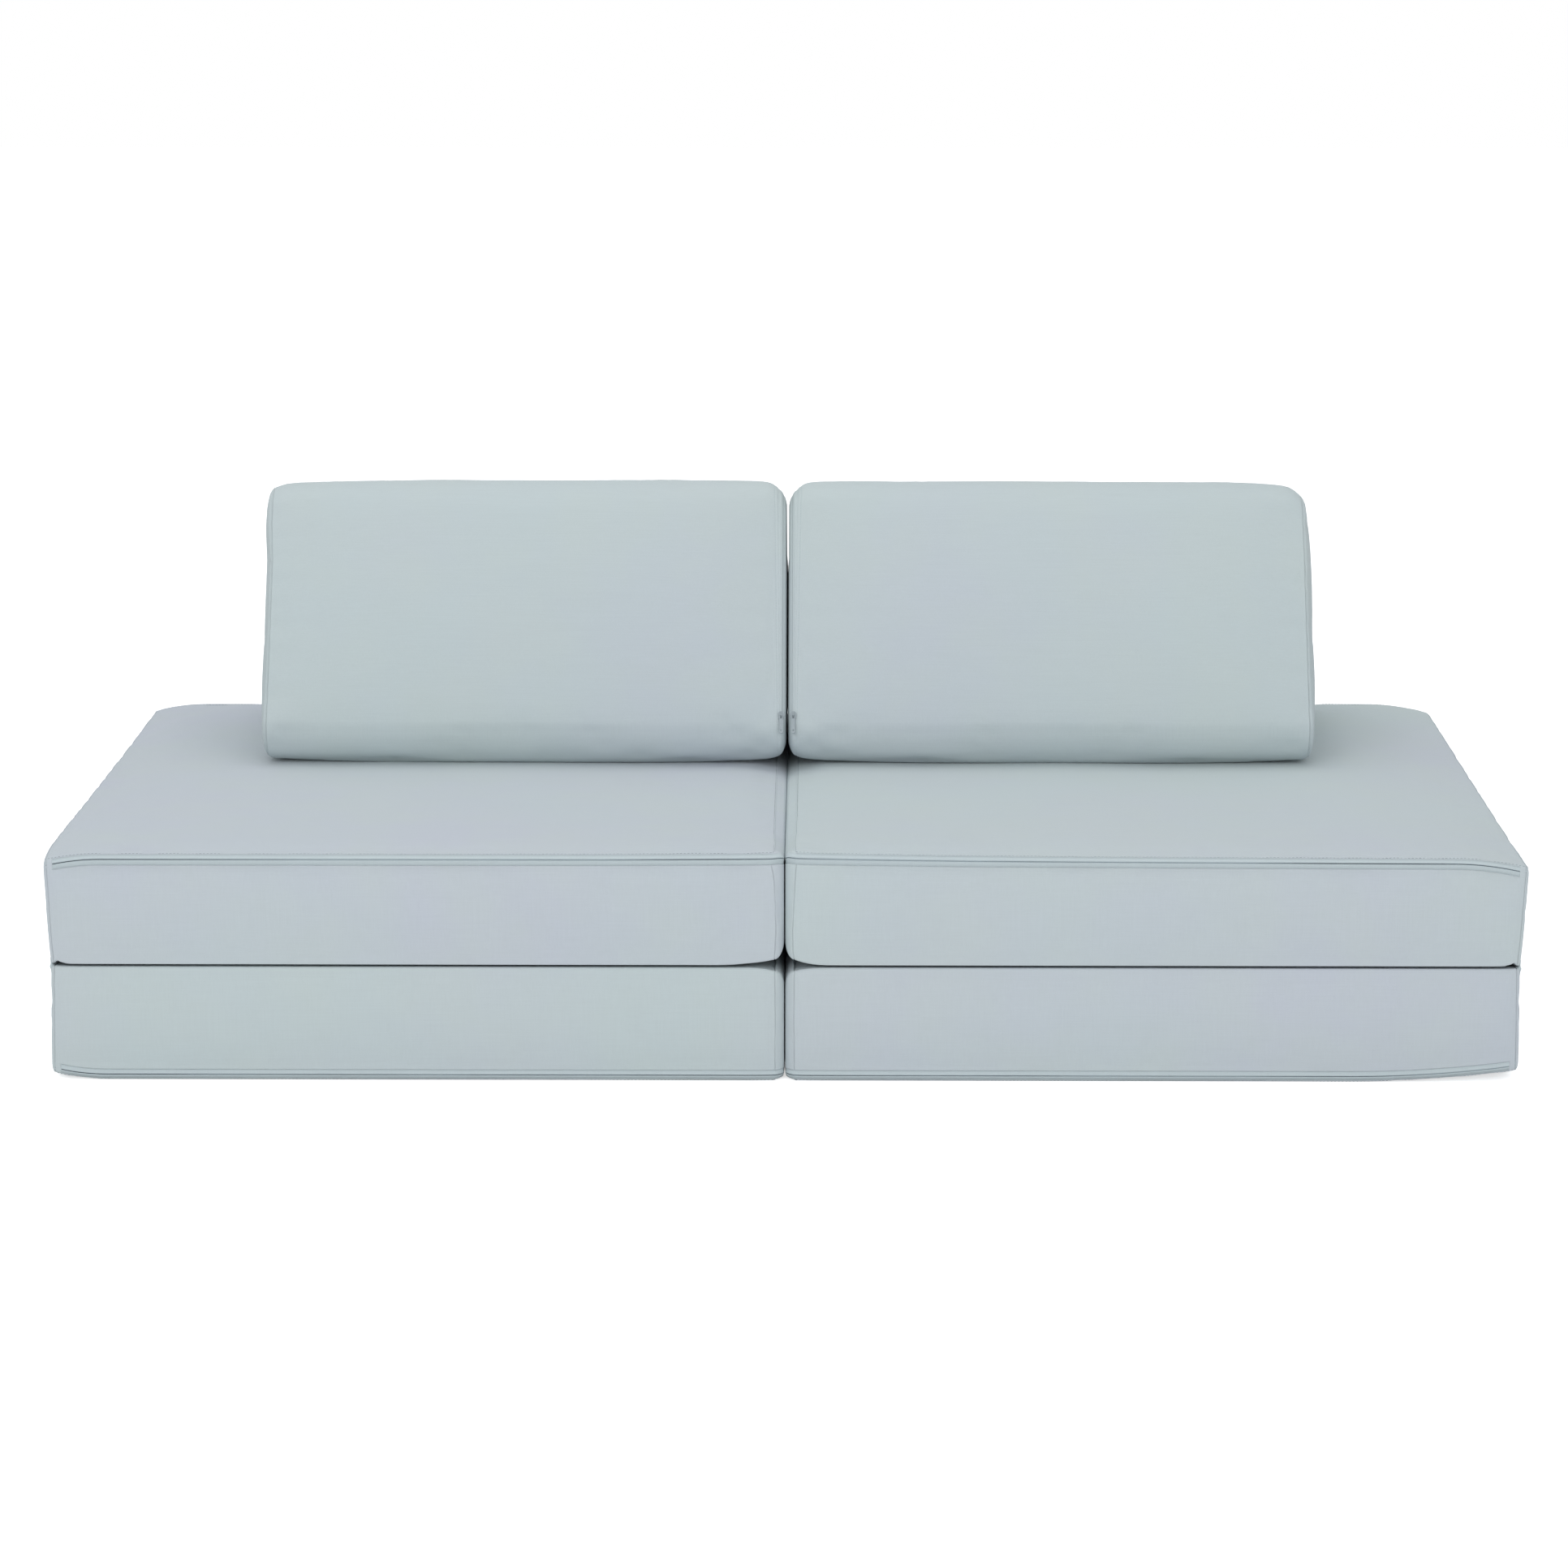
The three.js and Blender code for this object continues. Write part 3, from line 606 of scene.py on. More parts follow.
def panel_piece(mat_side, level, seed, body):
    """One panel's dressed cover with its zip and stitches."""
    shape = PANELS[body]
    points, quads, info = panel_mesh(shape, FINE)
    coarse, coarse_quads, coarse_info = panel_mesh(shape, COARSE)
    held = panel_held(points, info, level < 0), panel_held(coarse, coarse_info, level < 0)
    x, ring, offset = info["x"], info["ring"], info["offset"]
    still = unit(np.minimum(np.abs(x - HINGE_SEAM), np.abs(x - FREE_SEAM)) / 40)
    meshes = (points, quads), (coarse, coarse_quads)
    skin = surface_points(body, *meshes, held, MAT_GROWTH, seed, still)
    # The mats stand end to end and the hinged ends meet when unfolded, so both press flat
    near_end = unit((points[:, 0] - FREE_SEAM) / FREE_CAP["bulge"])
    skin[:, 0] -= near_end * (skin[:, 0] - points[:, 0])
    inner = unit((HALF - np.abs(points[:, 1])) / 40)
    skin[:, 0] += (HALF_GAP - 0.05) * near_end**4 * inner
    near_hinge = unit((HINGE_SEAM - points[:, 0]) / HINGE_CAP["bulge"])
    skin[:, 0] += PRESSED * near_hinge * np.maximum(points[:, 0] - skin[:, 0], 0)
    facing = normals(skin, quads)
    rows, columns = info["rows"], info["columns"]
    side = ((ring >= 0) & (ring <= rows)) | ((ring >= rows + columns) & (ring <= 2 * rows + columns))
    at_free, at_hinge = np.isclose(x, FREE_SEAM), np.isclose(x, HINGE_SEAM)
    front = side & (x > HINGE_SEAM + 7) & (offset < BAND_UP - 0.05)
    past = (x > FREE_SEAM + 0.2) | (info["end"] == 1)
    # The sunk band turns the free end's two corners on a radius
    turn, edge = 5.0, 2.1
    u = turn - np.clip(HALF - edge - np.abs(points[:, 1]), 0, turn)
    v = turn - np.clip(FREE_SEAM - x, 0, turn)
    rounded = (np.hypot(u, v) > turn) & (points[:, 2] > THICK / 2) & (offset > 0)
    depth = np.where((front | past | rounded) & (offset > -BAND_DOWN), SINK, 0.0)
    seam = at_hinge | (at_free & (side | (points[:, 2] < 20)))
    depth = np.where(seam & (depth == 0), SEAM_SINK, depth)
    depth = np.where(at_hinge & side & (offset > -BAND_DOWN), HINGE_SINK, depth)
    piping = np.isin(ring, [0, 2 * rows + columns])
    depth = np.where(piping, np.maximum(depth, PIPING_SINK), depth)
    cloth = skin - facing * depth[:, None]

    def put(name, mesh, slot, material, *nodes):
        obj = new_object(f"{body}_{name}", *placed(*mesh, mat_side, level))
        return dress(obj, body, slot, material, *nodes)

    cover = put("cloth", (cloth, quads), "cloth", CLOTHS[body], f"{body}_cover", f"{body}_foam")
    sheet = panel_sheet(skin, facing, info)
    margin = 8.5 + HINGE_CAP["bulge"]
    upper, lower, coil = zip_parts(sheet, margin, sheet.along[-1] - margin, TAPE_UP, TAPE_DOWN)
    put("zip_edge_tape", upper, "zip_tape", TAPE, f"{body}_zip_edge_half")
    put("zip_side_tape", lower, "zip_tape", TAPE, f"{body}_zip_side_half")
    put("zip_coil", coil, "zip_tape", COIL)
    thread = stitches(*topstitch_path(skin, facing, info), 4.2, radius=0.26, length=2.9, lift=0.03)
    put("thread", thread, "seam_cloth", THREAD)


def placed(points, faces, mat_side, level):
    """Panel points set in the row frame. mat_side is -1 for the left mat, level 1 for a seat."""
    world = (points + [-HALF_GAP, REAR_SHIFT, 0]) * [-mat_side, 1, level] + [0, 0, THICK]
    return world, faces[:, :: -mat_side * level]


# Wedge cushion

WEDGE_CENTRES = np.array([
    [WEDGE_RADIUS, WEDGE_RADIUS],
    [WEDGE_DEPTH - WEDGE_RADIUS, WEDGE_RADIUS],
    [WEDGE_SETBACK, WEDGE_HEIGHT - WEDGE_RADIUS],
])
WEDGE_SIDES = np.linalg.norm(np.roll(WEDGE_CENTRES, -1, 0) - np.roll(WEDGE_CENTRES, 1, 0), axis=1)
WEDGE_MIDDLE = (WEDGE_CENTRES * WEDGE_SIDES[:, None]).sum(axis=0) / WEDGE_SIDES.sum()


def wedge_section(inset, crown, arcs, cell):
    """Points round the wedge: three arcs and three slopes, as (y, z), and their part."""
    outline, part = [], []
    for i in range(3):
        here, before, after = WEDGE_CENTRES[i], WEDGE_CENTRES[i - 1], WEDGE_CENTRES[(i + 1) % 3]
        angle_in = math.atan2(*(here - before)[::-1]) - math.pi / 2
        angle_out = math.atan2(*(after - here)[::-1]) - math.pi / 2
        sweep = (angle_out - angle_in) % (2 * math.pi)
        for step in range(arcs + 1):
            angle = angle_in + sweep * step / arcs
            outline.append(here + WEDGE_RADIUS * np.array([math.cos(angle), math.sin(angle)]))
            part.append(i)
        normal = np.array([math.cos(angle_out), math.sin(angle_out)])
        count = max(3, round(np.linalg.norm(after - here) / cell))
        for share in np.arange(1, count) / count:
            rise = 0 if i == 0 else crown * (1 - (2 * share - 1) ** 2)
            outline.append(here + (after - here) * share + normal * (WEDGE_RADIUS + rise))
            part.append(3 + i)
    outline = np.array(outline)
    scale = (WEDGE_MIDDLE[1] - inset) / WEDGE_MIDDLE[1]
    return WEDGE_MIDDLE + (outline - WEDGE_MIDDLE) * scale, np.array(part)


def wedge_mesh(arcs, cell, inner, outer, fill):
    """The wedge's closed skin: x from its inner tip at 0 outwards, with each point's facts.

    A station is x, how far the section is drawn in, and how far its slopes are crowned.
    """
    high, low = -WEDGE_BULGE, WEDGE_BULGE - WEDGE_LENGTH
    plain, crown = 22, 8
    start, run = low + plain, high - low - 2 * plain
    stations = []
    for a in np.radians(outer)[::-1]:
        inset = WEDGE_IN + WEDGE_REACH * (1 - math.cos(a))
        stations.append((low - WEDGE_BULGE * math.sin(a), inset, 0))
    stations += [(x, WEDGE_IN, 0) for x in low + np.array([0, 0.5, 1.2, 3, 7, 14])]
    for share in np.linspace(0, 1, max(4, round(run / cell)) + 1):
        away = abs(2 * share - 1) ** 4
        stations.append((start + share * run, WEDGE_IN * away, crown * (1 - away)))
    stations += [(x, WEDGE_IN, 0) for x in inner if start + run + 1 < x <= high]
    for x in [x for x in inner if x > high]:
        a = math.asin(min(1, (x - high) / WEDGE_BULGE))
        inset = WEDGE_IN + WEDGE_REACH * (1 - math.cos(a)) + 1.6 * math.sin(a) ** 2
        stations.append((x, inset, 0))
    rings, part = [], None
    for x, inset, crown in stations:
        ring, part = wedge_section(inset, crown, arcs, cell)
        rings.append(np.column_stack([np.full(len(ring), x), ring]))
    count = len(part)
    rings = np.array(rings)
    index = grid_index(len(rings), count)
    total = index.size
    quads, triangles = [loop_quads(index)], []
    points, xs = [rings.reshape(-1, 3)], np.repeat(rings[:, 0, 0], count)
    parts, shares = np.tile(part, len(rings)), np.ones(total)
    for which, flip in ((0, 1), (len(rings) - 1, -1)):
        before = index[which]
        for share in fill:
            ring = rings[which].copy()
            ring[:, 1:] = WEDGE_MIDDLE + (ring[:, 1:] - WEDGE_MIDDLE) * share
            points.append(ring)
            here = total + np.arange(count)
            total += count
            quads.append(loop_quads(np.stack([before, here]))[:, ::-flip])
            before = here
            xs = np.append(xs, ring[:, 0])
            parts = np.append(parts, np.full(count, 6))
            shares = np.append(shares, np.full(count, share))
        tip = rings[which][0, 0]
        points.append(np.array([[tip, *WEDGE_MIDDLE]]))
        xs, parts, shares = np.append(xs, tip), np.append(parts, 6), np.append(shares, 0)
        hub = np.full(count, total)
        total += 1
        triangles.append(loop_quads(np.stack([before, hub]))[:, ::-flip])
    quads = np.concatenate(quads + triangles)
    points = np.concatenate(points)
    return points, outward(points, quads), dict(x=xs, part=parts, index=index, share=shares)


def zip_reach(z):
    """How far out the wedge's zip tape reaches: a little wider towards the apex."""
    return WEDGE_ZIP + 1.9 + 3.4 * unit(z / WEDGE_HEIGHT)


def rounded_off(points, share, trim, sag, cut, rise):
    """The wedge as worn: rounder corners, a trimmed outer end, and ends swollen in their middle.

    trim is the outer end's inset at the foot of the apex and at the apex, sag and cut how far
    its apex sinks broadly and at the tip, and rise how far the rest of the apex stands up.
    """
    x, y, z = points.T.copy()
    full = 1 - share**3
    # The inner ends touch up to 235 mm, where the photograph's gap opens
    inside = unit((z - 10) / 15) * unit((235 - z) / 20)
    x = np.where(x > -0.1, -0.75 + 1.65 * (1 - share**8) * inside, x)
    x = np.where(points[:, 0] < 0.1 - WEDGE_LENGTH, x - 2.5 * full, x)
    outer = unit(1 + (x + WEDGE_LENGTH) / -60)
    x = x + np.interp(z, (240, 285), trim) * outer**2
    high = unit((z - 230) / (WEDGE_HEIGHT - 230)) ** 1.3
    low = unit(1 - z / 32)
    z = z + rise * high * unit((x + WEDGE_LENGTH - 20) / 180)
    ends = (0.0, 1.5, 16, 16, 9), (-WEDGE_LENGTH + trim[0], sag, cut, 13, 6)
    for tip, wide, deep, lift, reach in ends:
        away = np.abs(x - tip)
        z = z - (deep * np.exp(-((away / 15) ** 2)) + wide * np.exp(-away / 60)) * high
        z = z + lift * np.exp(-away / reach) * low
    return np.stack([x, y, z], axis=1)


def stitch_line(z):
    """Distance of the wedge's topstitch from its inner tip, at a height."""
    return zip_reach(z) + 1.5 + 2.2 * unit(z / WEDGE_HEIGHT)


def wedge_held(points, info):
    """Where the wedge's cloth can't move: its seams, its foot and the end with the zip."""
    x, under = info["x"], points[:, 2] < 3.2
    return np.isclose(x, WEDGE_BULGE - WEDGE_LENGTH) | under | (x > -13)


def wedge_stitch_path(skin, facing, info):
    """The topstitch beside the zip, up the front slope, over the apex and down the rear."""
    index = info["index"]
    xs = info["x"][index[:, 0]]
    near = np.flatnonzero((xs > -18) & (xs < -6))
    parts = info["part"][: index.shape[1]]
    run = np.flatnonzero((parts == 4) | (parts == 2) | (parts == 5))
    path, out = [], []
    for column in run:
        line = skin[index[near, column]]
        where = -stitch_line(line[:, 2].mean())
        path.append([np.interp(where, line[:, 0], line[:, i]) for i in range(3)])
        facings = facing[index[near, column]]
        out.append([np.interp(where, line[:, 0], facings[:, i]) for i in range(3)])
    return np.array(path), np.array(out)


WORN = dict(left_back=((2.8, -0.8), 1.0, 7, 3), right_back=((1.5, 1.5), 4.5, 16, 2))
FINE_WEDGE = dict(
    arcs=14,
    cell=8.5,
    inner=np.concatenate([[-26, -22, -19], np.arange(-17, -3.2, 0.45), [-2.6, -1.8, -1.0, -0.4, 0]]),
    outer=[12, 28, 45, 62, 78, 90],
    fill=[0.96, 0.9, 0.82, 0.7, 0.56, 0.42, 0.28, 0.14],
)
COARSE_WEDGE = dict(
    arcs=5, cell=15, inner=[-12, -8, -3, 0], outer=[45, 90], fill=[0.85, 0.7, 0.55, 0.4, 0.25, 0.12],
)


def wedge_piece(mat_side, seed, body):
    """One wedge's dressed cover with its zip and stitches."""
    points, quads, info = wedge_mesh(**FINE_WEDGE)
    coarse, coarse_quads, coarse_info = wedge_mesh(**COARSE_WEDGE)
    held = wedge_held(points, info), wedge_held(coarse, coarse_info)
    points = rounded_off(points, info["share"], *WORN[body])
    coarse = rounded_off(coarse, coarse_info["share"], *WORN[body])
    x, part = info["x"], info["part"]
    still = unit(np.minimum(-WEDGE_BULGE - x, x + WEDGE_LENGTH - WEDGE_BULGE) / 40)
    still = np.where(x < -WEDGE_LENGTH + 1, 1, still)
    meshes = (points, quads), (coarse, coarse_quads)
    skin = surface_points(body, *meshes, held, WEDGE_GROWTH, seed, still)
    facing = normals(skin, quads)
    reach = zip_reach(points[:, 2])
    sewn = (points[:, 2] > WEDGE_ZIP_START - 4) & (part < 6)
    across = unit((x + reach) / 0.5) * unit((-3.4 - x) / 0.5 + 1)
    depth = np.where(sewn & (part != 3), WEDGE_BAND_SINK * across, 0)
    beside = (x + stitch_line(points[:, 2])) / 0.5
    depth = np.where(part < 6, depth + WEDGE_STITCH_SINK * np.exp(-(beside**2)), depth)
    depth = np.where(np.isclose(x, WEDGE_BULGE - WEDGE_LENGTH), WEDGE_SEAM_SINK, depth)
    cloth = skin - facing * depth[:, None]

    def put(name, mesh, slot, material, *nodes):
        world = (mesh[0] + [-HALF_GAP, WEDGE_Y, WEDGE_Z]) * [-mat_side, 1, 1]
        obj = new_object(f"{body}_{name}", world, mesh[1][:, ::-mat_side])
        return dress(obj, body, slot, material, *nodes)

    cover = put("cloth", (cloth, quads), "cloth", CLOTHS[body], f"{body}_cover", f"{body}_foam")
    # The zip's sheet runs round the section, from the rear lower edge to the front one
    count = info["index"].shape[1]
    rear_start = np.flatnonzero(part[:count] == 1)[0]
    run = np.concatenate([np.arange(rear_start, count), np.arange(FINE_WEDGE["arcs"] + 1)])
    first = points[info["index"][:, 0], 0]
    stations = np.flatnonzero((first > -13) & (first < -1.5))
    index = info["index"][stations][:, run]
    offsets = np.broadcast_to(first[stations][:, None] + WEDGE_ZIP, index.shape)
    line = int(np.argmin(np.abs(offsets[:, 0])))
    sheet = Sheet(skin[index], facing[index], offsets, line)
    height = points[index[line], 2]
    top = int(np.argmax(height))
    start = float(np.interp(WEDGE_ZIP_START + 1, height[:top], sheet.along[:top]))
    end = float(np.interp(-WEDGE_ZIP_START - 1, -height[top:], sheet.along[top:]))
    for half, turn, far in (("inner", 1, 2.7), ("outer", -1, 1.9)):
        loop = (far, -1.1), (far, -0.5), (1.2, -0.3), (0.5, -0.22), (0.1, -0.5), (0.1, -1.1)
        tape = ribbon(sheet, start, end, [(turn * a, h) for a, h in loop])
        put(f"zip_{half}_tape", tape, "zip_tape", CLOTHS[body], f"{body}_zip_{half}_half")
    path = wedge_stitch_path(skin, facing, info)
    thread = stitches(*path, 3.6, radius=0.2, length=2.6, lift=-0.3)
    put("thread", thread, "seam_cloth", FAINT)


# Fold hinge


def hinge_piece(mat_side, name):
    """The cloth strip sewn across the fold, with its bead at the fold's line."""
    half = 407.0
    outline = [
        (-831.6, 117.0), (-832.4, 118.5), (-832.9, 123.0), (-833.6, 128.0), (-834.6, 130.2),
        (-834.9, 131.4), (-834.0, 132.8), (-833.4, 136.0), (-833.8, 141.0), (-833.2, 142.6),
        (-832.0, 143.0), (-831.0, 141.5), (-831.0, 136.0), (-829.4, 132.8), (-828.4, 131.0),
        (-829.4, 129.2), (-831.0, 126.0), (-831.0, 119.0),
    ]
    places = spread(-half, half, *[[0, 0.6, 1.6, 3.5, 7]] * 2, 12)
    shrink = np.minimum(1, 0.55 + 0.45 * np.sqrt(unit((half - np.abs(places)) / 3.5)))
    outline = np.array(outline)
    middle = outline.mean(axis=0)
    points = []
    for y, s in zip(places, shrink):
        ring = middle + (outline - middle) * [s, 0.9 + 0.1 * s]
        points.append(np.column_stack([ring[:, 0], np.full(len(ring), y + REAR_SHIFT), ring[:, 1]]))
    points = np.concatenate(points)
    quads = outward(points, strip_quads(len(places), len(outline)))
    if mat_side > 0:
        points[:, 0] *= -1
        quads = quads[:, ::-1]
    strip = new_object(name, points, quads)
    dress(strip, None, "seam_cloth", TAPE, name.replace("_cloth", ""))
    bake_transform(strip)


# Scene: camera, light and ground

def empty_tree(owner):
    """The owner's node tree, emptied."""
    owner.use_nodes = True
    owner.node_tree.nodes.clear()
    return owner.node_tree


def set_inputs(node, **values):
    for key, value in values.items():
        node.inputs[key.replace("_", " ")].default_value = value
    return node


def add_node(tree, kind, **values):
    """A new shader node with some of its inputs set."""
    return set_inputs(tree.nodes.new(f"ShaderNode{kind}"), **values)


def wire(tree, *pairs):
    for output, socket in pairs:
        tree.links.new(output, socket)


def place_camera(scene):
    data = bpy.data.cameras.new("camera")
    data.lens = 96.05
    data.sensor_width = 36
    camera = bpy.data.objects.new("camera", data)
    camera.location = (0.032, -4.986, 1.387)
    camera.rotation_euler = (math.radians(90 - 12.82), 0, math.radians(0.41))
    scene.collection.objects.link(camera)
    scene.camera = camera


def light_scene(scene):
    """A pale world that shows as white, and three large soft lamps."""
    scene.world = bpy.data.worlds.new("studio")
    tree = empty_tree(scene.world)
    output, mix = add_node(tree, "OutputWorld"), add_node(tree, "MixShader")
    rays, either = add_node(tree, "LightPath"), add_node(tree, "Math")
    either.operation = "MAXIMUM"
    light = add_node(tree, "Background", Color=(0.96, 0.98, 1, 1), Strength=0.62)
    shown = add_node(tree, "Background", Color=(1, 1, 1, 1), Strength=1.0)
    wire(
        tree,
        (rays.outputs["Is Camera Ray"], either.inputs[0]),
        (rays.outputs["Is Glossy Ray"], either.inputs[1]),
        (either.outputs[0], mix.inputs["Fac"]),
        (light.outputs[0], mix.inputs[1]),
        (shown.outputs[0], mix.inputs[2]),
        (mix.outputs[0], output.inputs["Surface"]),
    )
    lamps = (
        ("key", (-1.8, -4.0, 2.6), 3.2, 51),
        ("fill", (2.4, -3.8, 2.0), 3.0, 30),
        ("top", (-0.4, 0.4, 3.6), 3.6, 34),
    )
    for name, place, size, power in lamps:
        data = bpy.data.lights.new(name, "AREA")
        data.shape = "SQUARE"
        data.size = size
        data.energy = power
        lamp = bpy.data.objects.new(name, data)
        lamp.location = place
        towards = Vector((0, 0, 0.2)) - Vector(place)
        lamp.rotation_euler = towards.to_track_quat("-Z", "Y").to_euler()
        scene.collection.objects.link(lamp)


def lay_floor(scene):
    """A floor that shows as white but keeps the object's shadow."""
    mesh = bpy.data.meshes.new("floor")
    wide = 14.0
    corners = [(-wide, -wide, 0), (wide, -wide, 0), (wide, wide, 0), (-wide, wide, 0)]
    mesh.from_pydata(corners, [], [(0, 1, 2, 3)])
    floor = bpy.data.objects.new("floor", mesh)
    scene.collection.objects.link(floor)
    material = bpy.data.materials.new("floor")
    tree = empty_tree(material)
    output, rays = add_node(tree, "OutputMaterial"), add_node(tree, "LightPath")
    add, mix = add_node(tree, "AddShader"), add_node(tree, "MixShader")
    diffuse = add_node(tree, "BsdfDiffuse", Color=(0.93, 0.93, 0.93, 1))
    glow = add_node(tree, "Emission", Strength=0.6)
    wire(
        tree,
        (diffuse.outputs[0], add.inputs[0]),
        (glow.outputs[0], add.inputs[1]),
        (rays.outputs["Is Camera Ray"], mix.inputs["Fac"]),
        (diffuse.outputs[0], mix.inputs[1]),
        (add.outputs[0], mix.inputs[2]),
        (mix.outputs[0], output.inputs["Surface"]),
    )
    mesh.materials.append(material)


bpy.context.scene.view_settings.view_transform = "Standard"
for step in (place_camera, light_scene, lay_floor):
    step(bpy.context.scene)


# Materials

THREAD_PITCH = 0.0008  # of the weave, in metres


def linear(rgb):
    """A colour as Blender wants it, from the values that a picture shows."""
    return tuple(c / 12.92 if c <= 0.04045 else ((c + 0.055) / 1.055) ** 2.4 for c in rgb) + (1,)


def join_input(tree, socket, value):
    """A number or colour is set on the socket, and an output is linked to it."""
    if isinstance(value, (tuple, float, int)):
        socket.default_value = value
    else:
        tree.links.new(value, socket)


def calculated(tree, operation, a, b=0.0):
    node = add_node(tree, "Math")
    node.operation = operation
    for socket, value in zip(node.inputs, (a, b)):
        join_input(tree, socket, value)
    return node.outputs[0]


def blended(tree, factor, a, b, blend="MIX"):
    node = add_node(tree, "Mix")
    node.data_type = "RGBA"
    node.blend_type = blend
    for key, value in (("Factor", factor), (6, a), (7, b)):
        join_input(tree, node.inputs[key], value)
    return node.outputs[2]


def ranged(tree, value, **limits):
    node = add_node(tree, "MapRange", **limits)
    tree.links.new(value, node.inputs["Value"])
    return node.outputs["Result"]


def noise(tree, place, scale, detail):
    node = add_node(tree, "TexNoise", Scale=scale, Detail=detail)
    tree.links.new(place, node.inputs["Vector"])
    return node.outputs["Fac"]


def stretched(tree, place, scale):
    node = add_node(tree, "Mapping", Scale=scale)
    tree.links.new(place, node.inputs["Vector"])
    return node.outputs["Vector"]


def add_bump(tree, shader, height, strength, distance):
    node = add_node(tree, "Bump", Strength=strength, Distance=distance)
    wire(tree, (height, node.inputs["Height"]), (node.outputs["Normal"], shader.inputs["Normal"]))


def new_material(name, **values):
    """A material, its node tree and its shader, with some of the shader's inputs set."""
    material = bpy.data.materials.new(name)
    material.use_nodes = True
    tree = material.node_tree
    return material, tree, set_inputs(tree.nodes["Principled BSDF"], **values)


def cloth_material(name, shades, weave=1.0, lean=0.0):
    """Matte woven cloth: thread bump on each face, slubs and soft variation between 3 shades.

    lean is how far the broad variation leans to the second shade.
    """
    gloss = dict(Specular_IOR_Level=0.25, Sheen_Weight=0.12, Sheen_Roughness=0.5)
    material, tree, shader = new_material(name, **gloss)
    source = add_node(tree, "TexCoord").outputs
    place = source["Object"]
    main, tint, warm = (linear(shade) for shade in shades)
    broad = ranged(tree, noise(tree, place, 2.2, 2), From_Min=0.35 - lean, From_Max=0.65 - lean)
    patches = ranged(tree, noise(tree, place, 9, 3), From_Min=0.38, From_Max=0.62)
    colour = blended(tree, broad, main, tint)
    colour = blended(tree, calculated(tree, "MULTIPLY", patches, 0.35), colour, warm)
    slubs = []
    for stretch in ((14, 900, 900), (900, 900, 14)):
        lines = noise(tree, stretched(tree, place, stretch), 1, 3)
        slubs.append(calculated(tree, "MULTIPLY", lines, 0.5))
    slub = ranged(tree, calculated(tree, "ADD", *slubs), From_Min=0.3, From_Max=0.7)
    shade = calculated(tree, "ADD", calculated(tree, "MULTIPLY", slub, 0.05), 0.975)
    grey = add_node(tree, "CombineColor")
    for channel in grey.inputs:
        tree.links.new(shade, channel)
    colour = blended(tree, 1.0, colour, grey.outputs[0], "MULTIPLY")
    tree.links.new(colour, shader.inputs["Base Color"])

    # Plain weave: the product of two thread waves, on the plane that the face lies in
    split, facing = add_node(tree, "SeparateXYZ"), add_node(tree, "SeparateXYZ")
    wire(tree, (place, split.inputs[0]), (source["Normal"], facing.inputs[0]))
    turns = 2 * math.pi / THREAD_PITCH
    waves = [
        calculated(tree, "SINE", calculated(tree, "MULTIPLY", axis, turns)) for axis in split.outputs
    ]
    height = calculated(tree, "MULTIPLY", slub, 1.2)
    for i in range(3):
        weight = calculated(tree, "POWER", calculated(tree, "ABSOLUTE", facing.outputs[i]), 4.0)
        threads = calculated(tree, "MULTIPLY", waves[(i + 1) % 3], waves[(i + 2) % 3])
        height = calculated(tree, "ADD", height, calculated(tree, "MULTIPLY", threads, weight))
    add_bump(tree, shader, height, 0.25 * weave, 0.0002)
    rough = calculated(tree, "ADD", calculated(tree, "MULTIPLY", patches, 0.05), 0.9)
    tree.links.new(rough, shader.inputs["Roughness"])
    return material


def plain_material(name, rgb, roughness, spots, metallic=0.0, faded=None):
    """Thread, coil or worn metal: fine noise in shade and gloss, and faded in long stretches."""
    material, tree, shader = new_material(name, Metallic=metallic)
    place = add_node(tree, "TexCoord").outputs["Object"]
    grain = noise(tree, place, 900, 3)
    dark, light = (linear([min(1, c * share) for c in rgb]) for share in (1 - spots, 1 + spots))
    colour = blended(tree, grain, dark, light)
    if faded:
        stretches = ranged(tree, noise(tree, place, 3.2, 1), From_Min=0.42, From_Max=0.62)
        colour = blended(tree, stretches, colour, linear(faded))
    tree.links.new(colour, shader.inputs["Base Color"])
    gloss = ranged(tree, grain, To_Min=roughness * 0.8, To_Max=min(1, roughness * 1.2))
    tree.links.new(gloss, shader.inputs["Roughness"])
    add_bump(tree, shader, grain, 0.2, 0.0001)
    return material


SHADES = (0.744, 0.788, 0.796), (0.746, 0.771, 0.806), (0.753, 0.795, 0.786)
TAPE_SHADES = (0.755, 0.80, 0.815), (0.755, 0.80, 0.815), (0.765, 0.81, 0.82)
LEANS = dict(
    left_base=-0.06, left_seat=0.12, right_base=0.0, right_seat=-0.12, left_back=-0.04, right_back=-0.04,
)
CLOTHS = {body: cloth_material(f"cloth_{body}", SHADES, lean=lean) for body, lean in LEANS.items()}
TAPE = cloth_material("tape", TAPE_SHADES, weave=0.6)
THREAD = plain_material("thread", (0.38, 0.43, 0.45), 0.7, 0.08, faded=(0.62, 0.67, 0.69))
FAINT = plain_material("faint_thread", (0.68, 0.73, 0.75), 0.8, 0.05)
COIL = plain_material("coil", (0.20, 0.25, 0.29), 0.6, 0.1, faded=(0.58, 0.63, 0.66))
METAL = plain_material("metal", (0.58, 0.62, 0.64), 0.42, 0.08, metallic=0.25)


def dress(obj, body, slot, material, *nodes):
    """The object rides on a body, takes a material, and stands for CAD nodes; slot is not used."""
    obj.data.materials.clear()
    obj.data.materials.append(material)
    if body:
        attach(obj, body)
    if nodes:
        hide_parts(*nodes)
    return obj


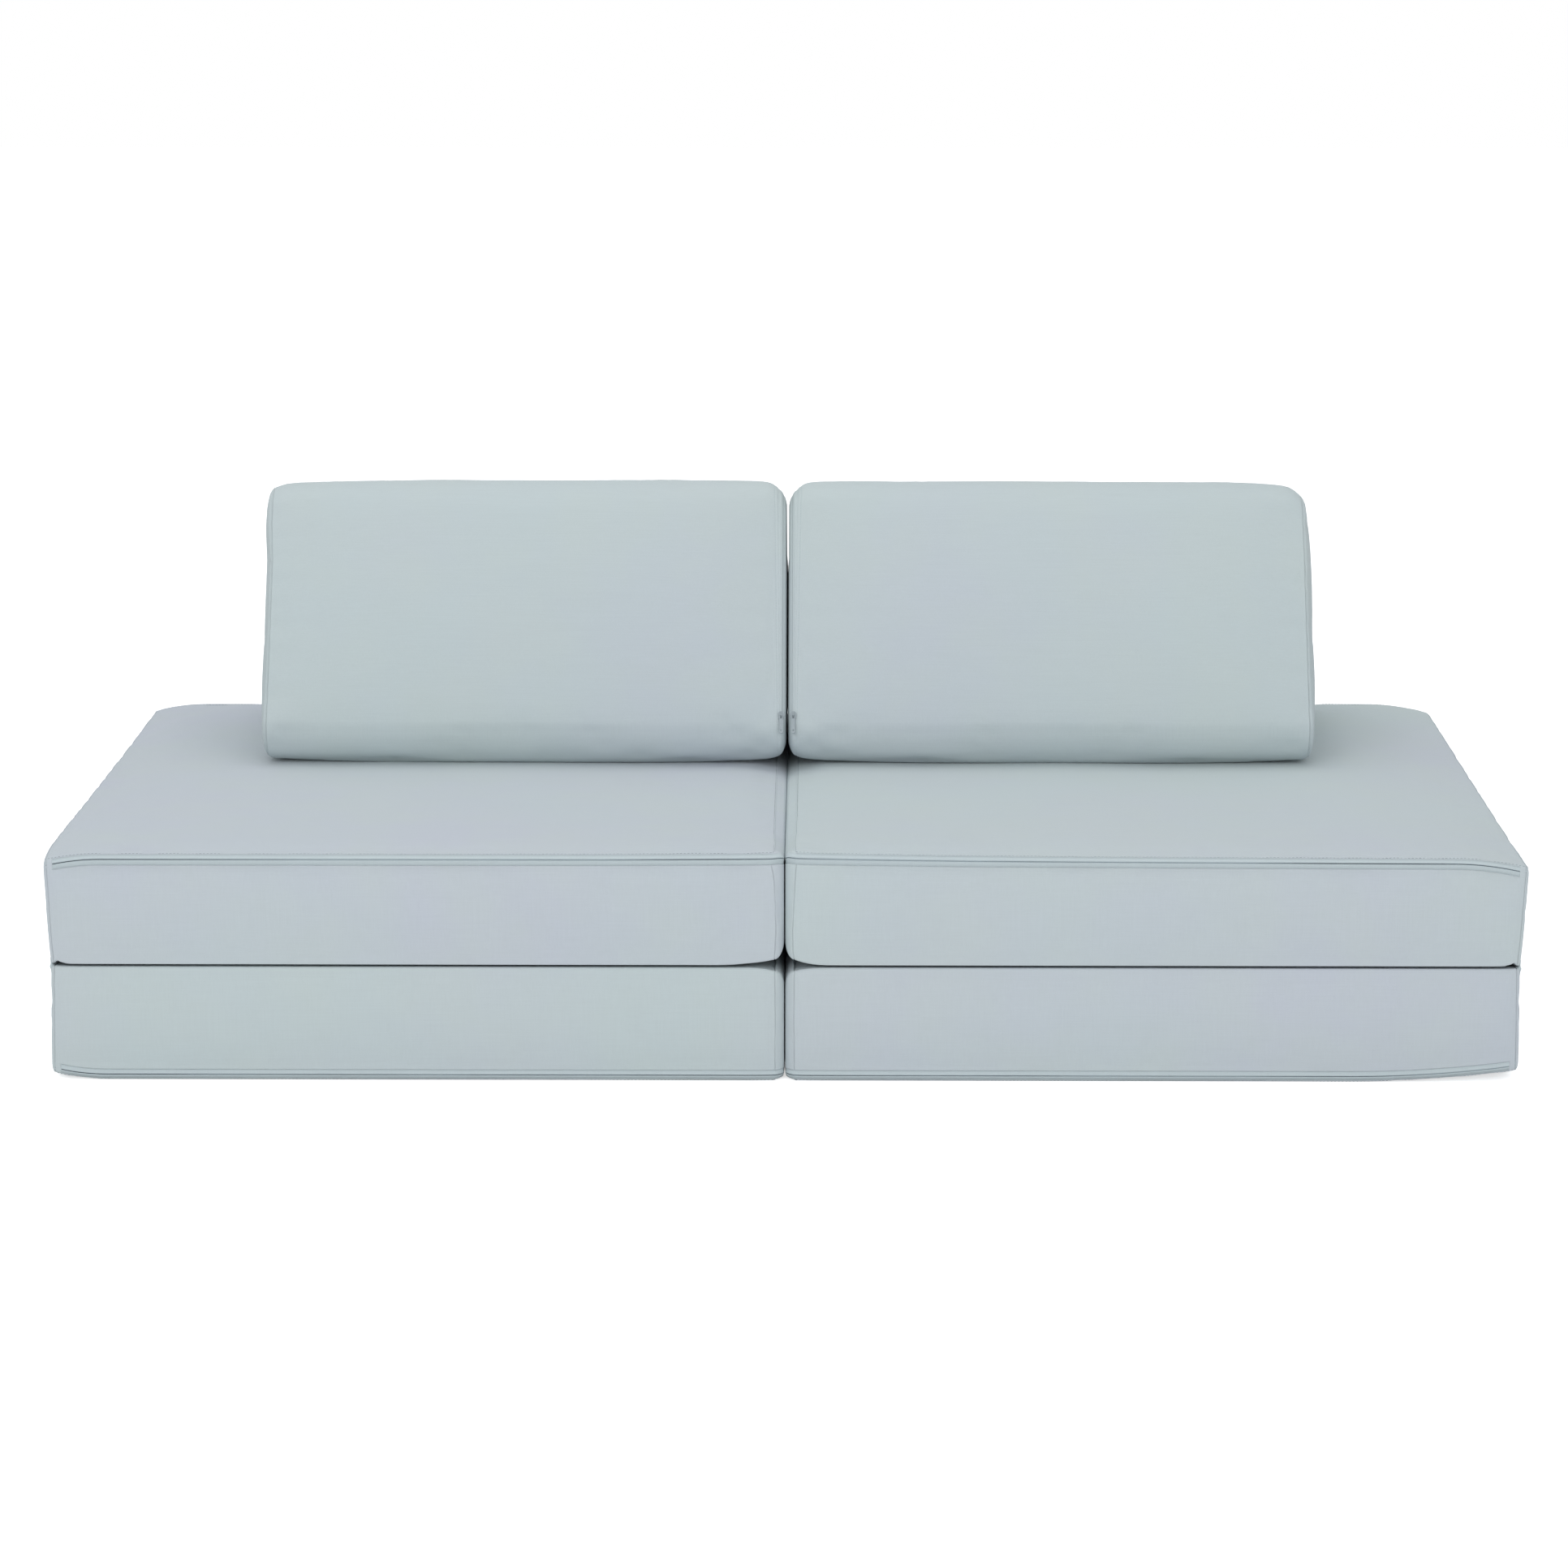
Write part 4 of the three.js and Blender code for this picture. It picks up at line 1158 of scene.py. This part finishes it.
# Shapes of the four panels, as the photograph shows them. Heights are from the fold's plane.
# edge, lift: how far the inner face stands off, all along and at the free end
# lean, swell, pull, tuck: the hinged end's lean, its bulge, and how its seam draws the cloth in
# drop, full: how far the outer face falls at the hinged end, and how full it stays inside
# crown, front, rear, droop, dip: the outer face's crown, its raised edges, its rear outer
#   corner's fall, and its fall into the gap between the mats
# wander: how far the free end's front edge strays along the mat, by height

PLAIN = dict(
    edge=-2.8, dip=0.0, crown=0.0, lean=3.0, drop=7.0, drop_run=60.0, lift=4.0, lift_run=30.0,
    pull=3.0, droop=0.0, swell=2.0, tuck=0.0, front=((-827, 0), (0, 0)), rear=0.0, full=(1, 1),
    wander=((0, 0), (60, 0.8), (131, 0)),
)
SEAT = dict(PLAIN, edge=5.2, dip=6.5, crown=2.0, lean=7.0, tuck=4.0)
PANELS = dict(
    left_base=dict(PLAIN, lean=4.0),
    right_base=dict(PLAIN, drop=13.0, drop_run=190.0),
    left_seat=dict(
        SEAT, lean=5.2, lift=6.5, lift_run=60.0, droop=1.5, swell=3.0, rear=4.5, full=(1.0, -0.2),
        front=((-827, 4.6), (-200, 5.0), (0, 6.6)),
        wander=((0, -1), (20, 0), (45, 1.5), (75, 1.2), (105, -1), (118, -4), (127, -0.5)),
    ),
    right_seat=dict(
        SEAT, lift=6.5, lift_run=34.0, droop=-1.0, swell=4.0, rear=6.5, full=(-0.1, 0.85),
        drop=10.0, drop_run=80.0, front=((-827, 1.0), (-430, 2.6), (-210, 4.0), (-100, 5.5), (0, 7.5)),
        wander=((0, -2), (20, 1.5), (45, 2.4), (75, 0.8), (105, -1), (118, -2.2), (127, -0.5)),
    ),
)
for side, sign in (("left", -1), ("right", 1)):
    panel_piece(sign, -1, 11 + sign, f"{side}_base")
    panel_piece(sign, 1, 31 + sign, f"{side}_seat")
    wedge_piece(sign, 51 + sign, f"{side}_back")
    hinge_piece(sign, f"{side}_fold_hinge_cloth")

for name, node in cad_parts.items():
    if name.endswith(("_slider", "_pull")):
        for slot in node.material_slots:
            slot.material = METAL
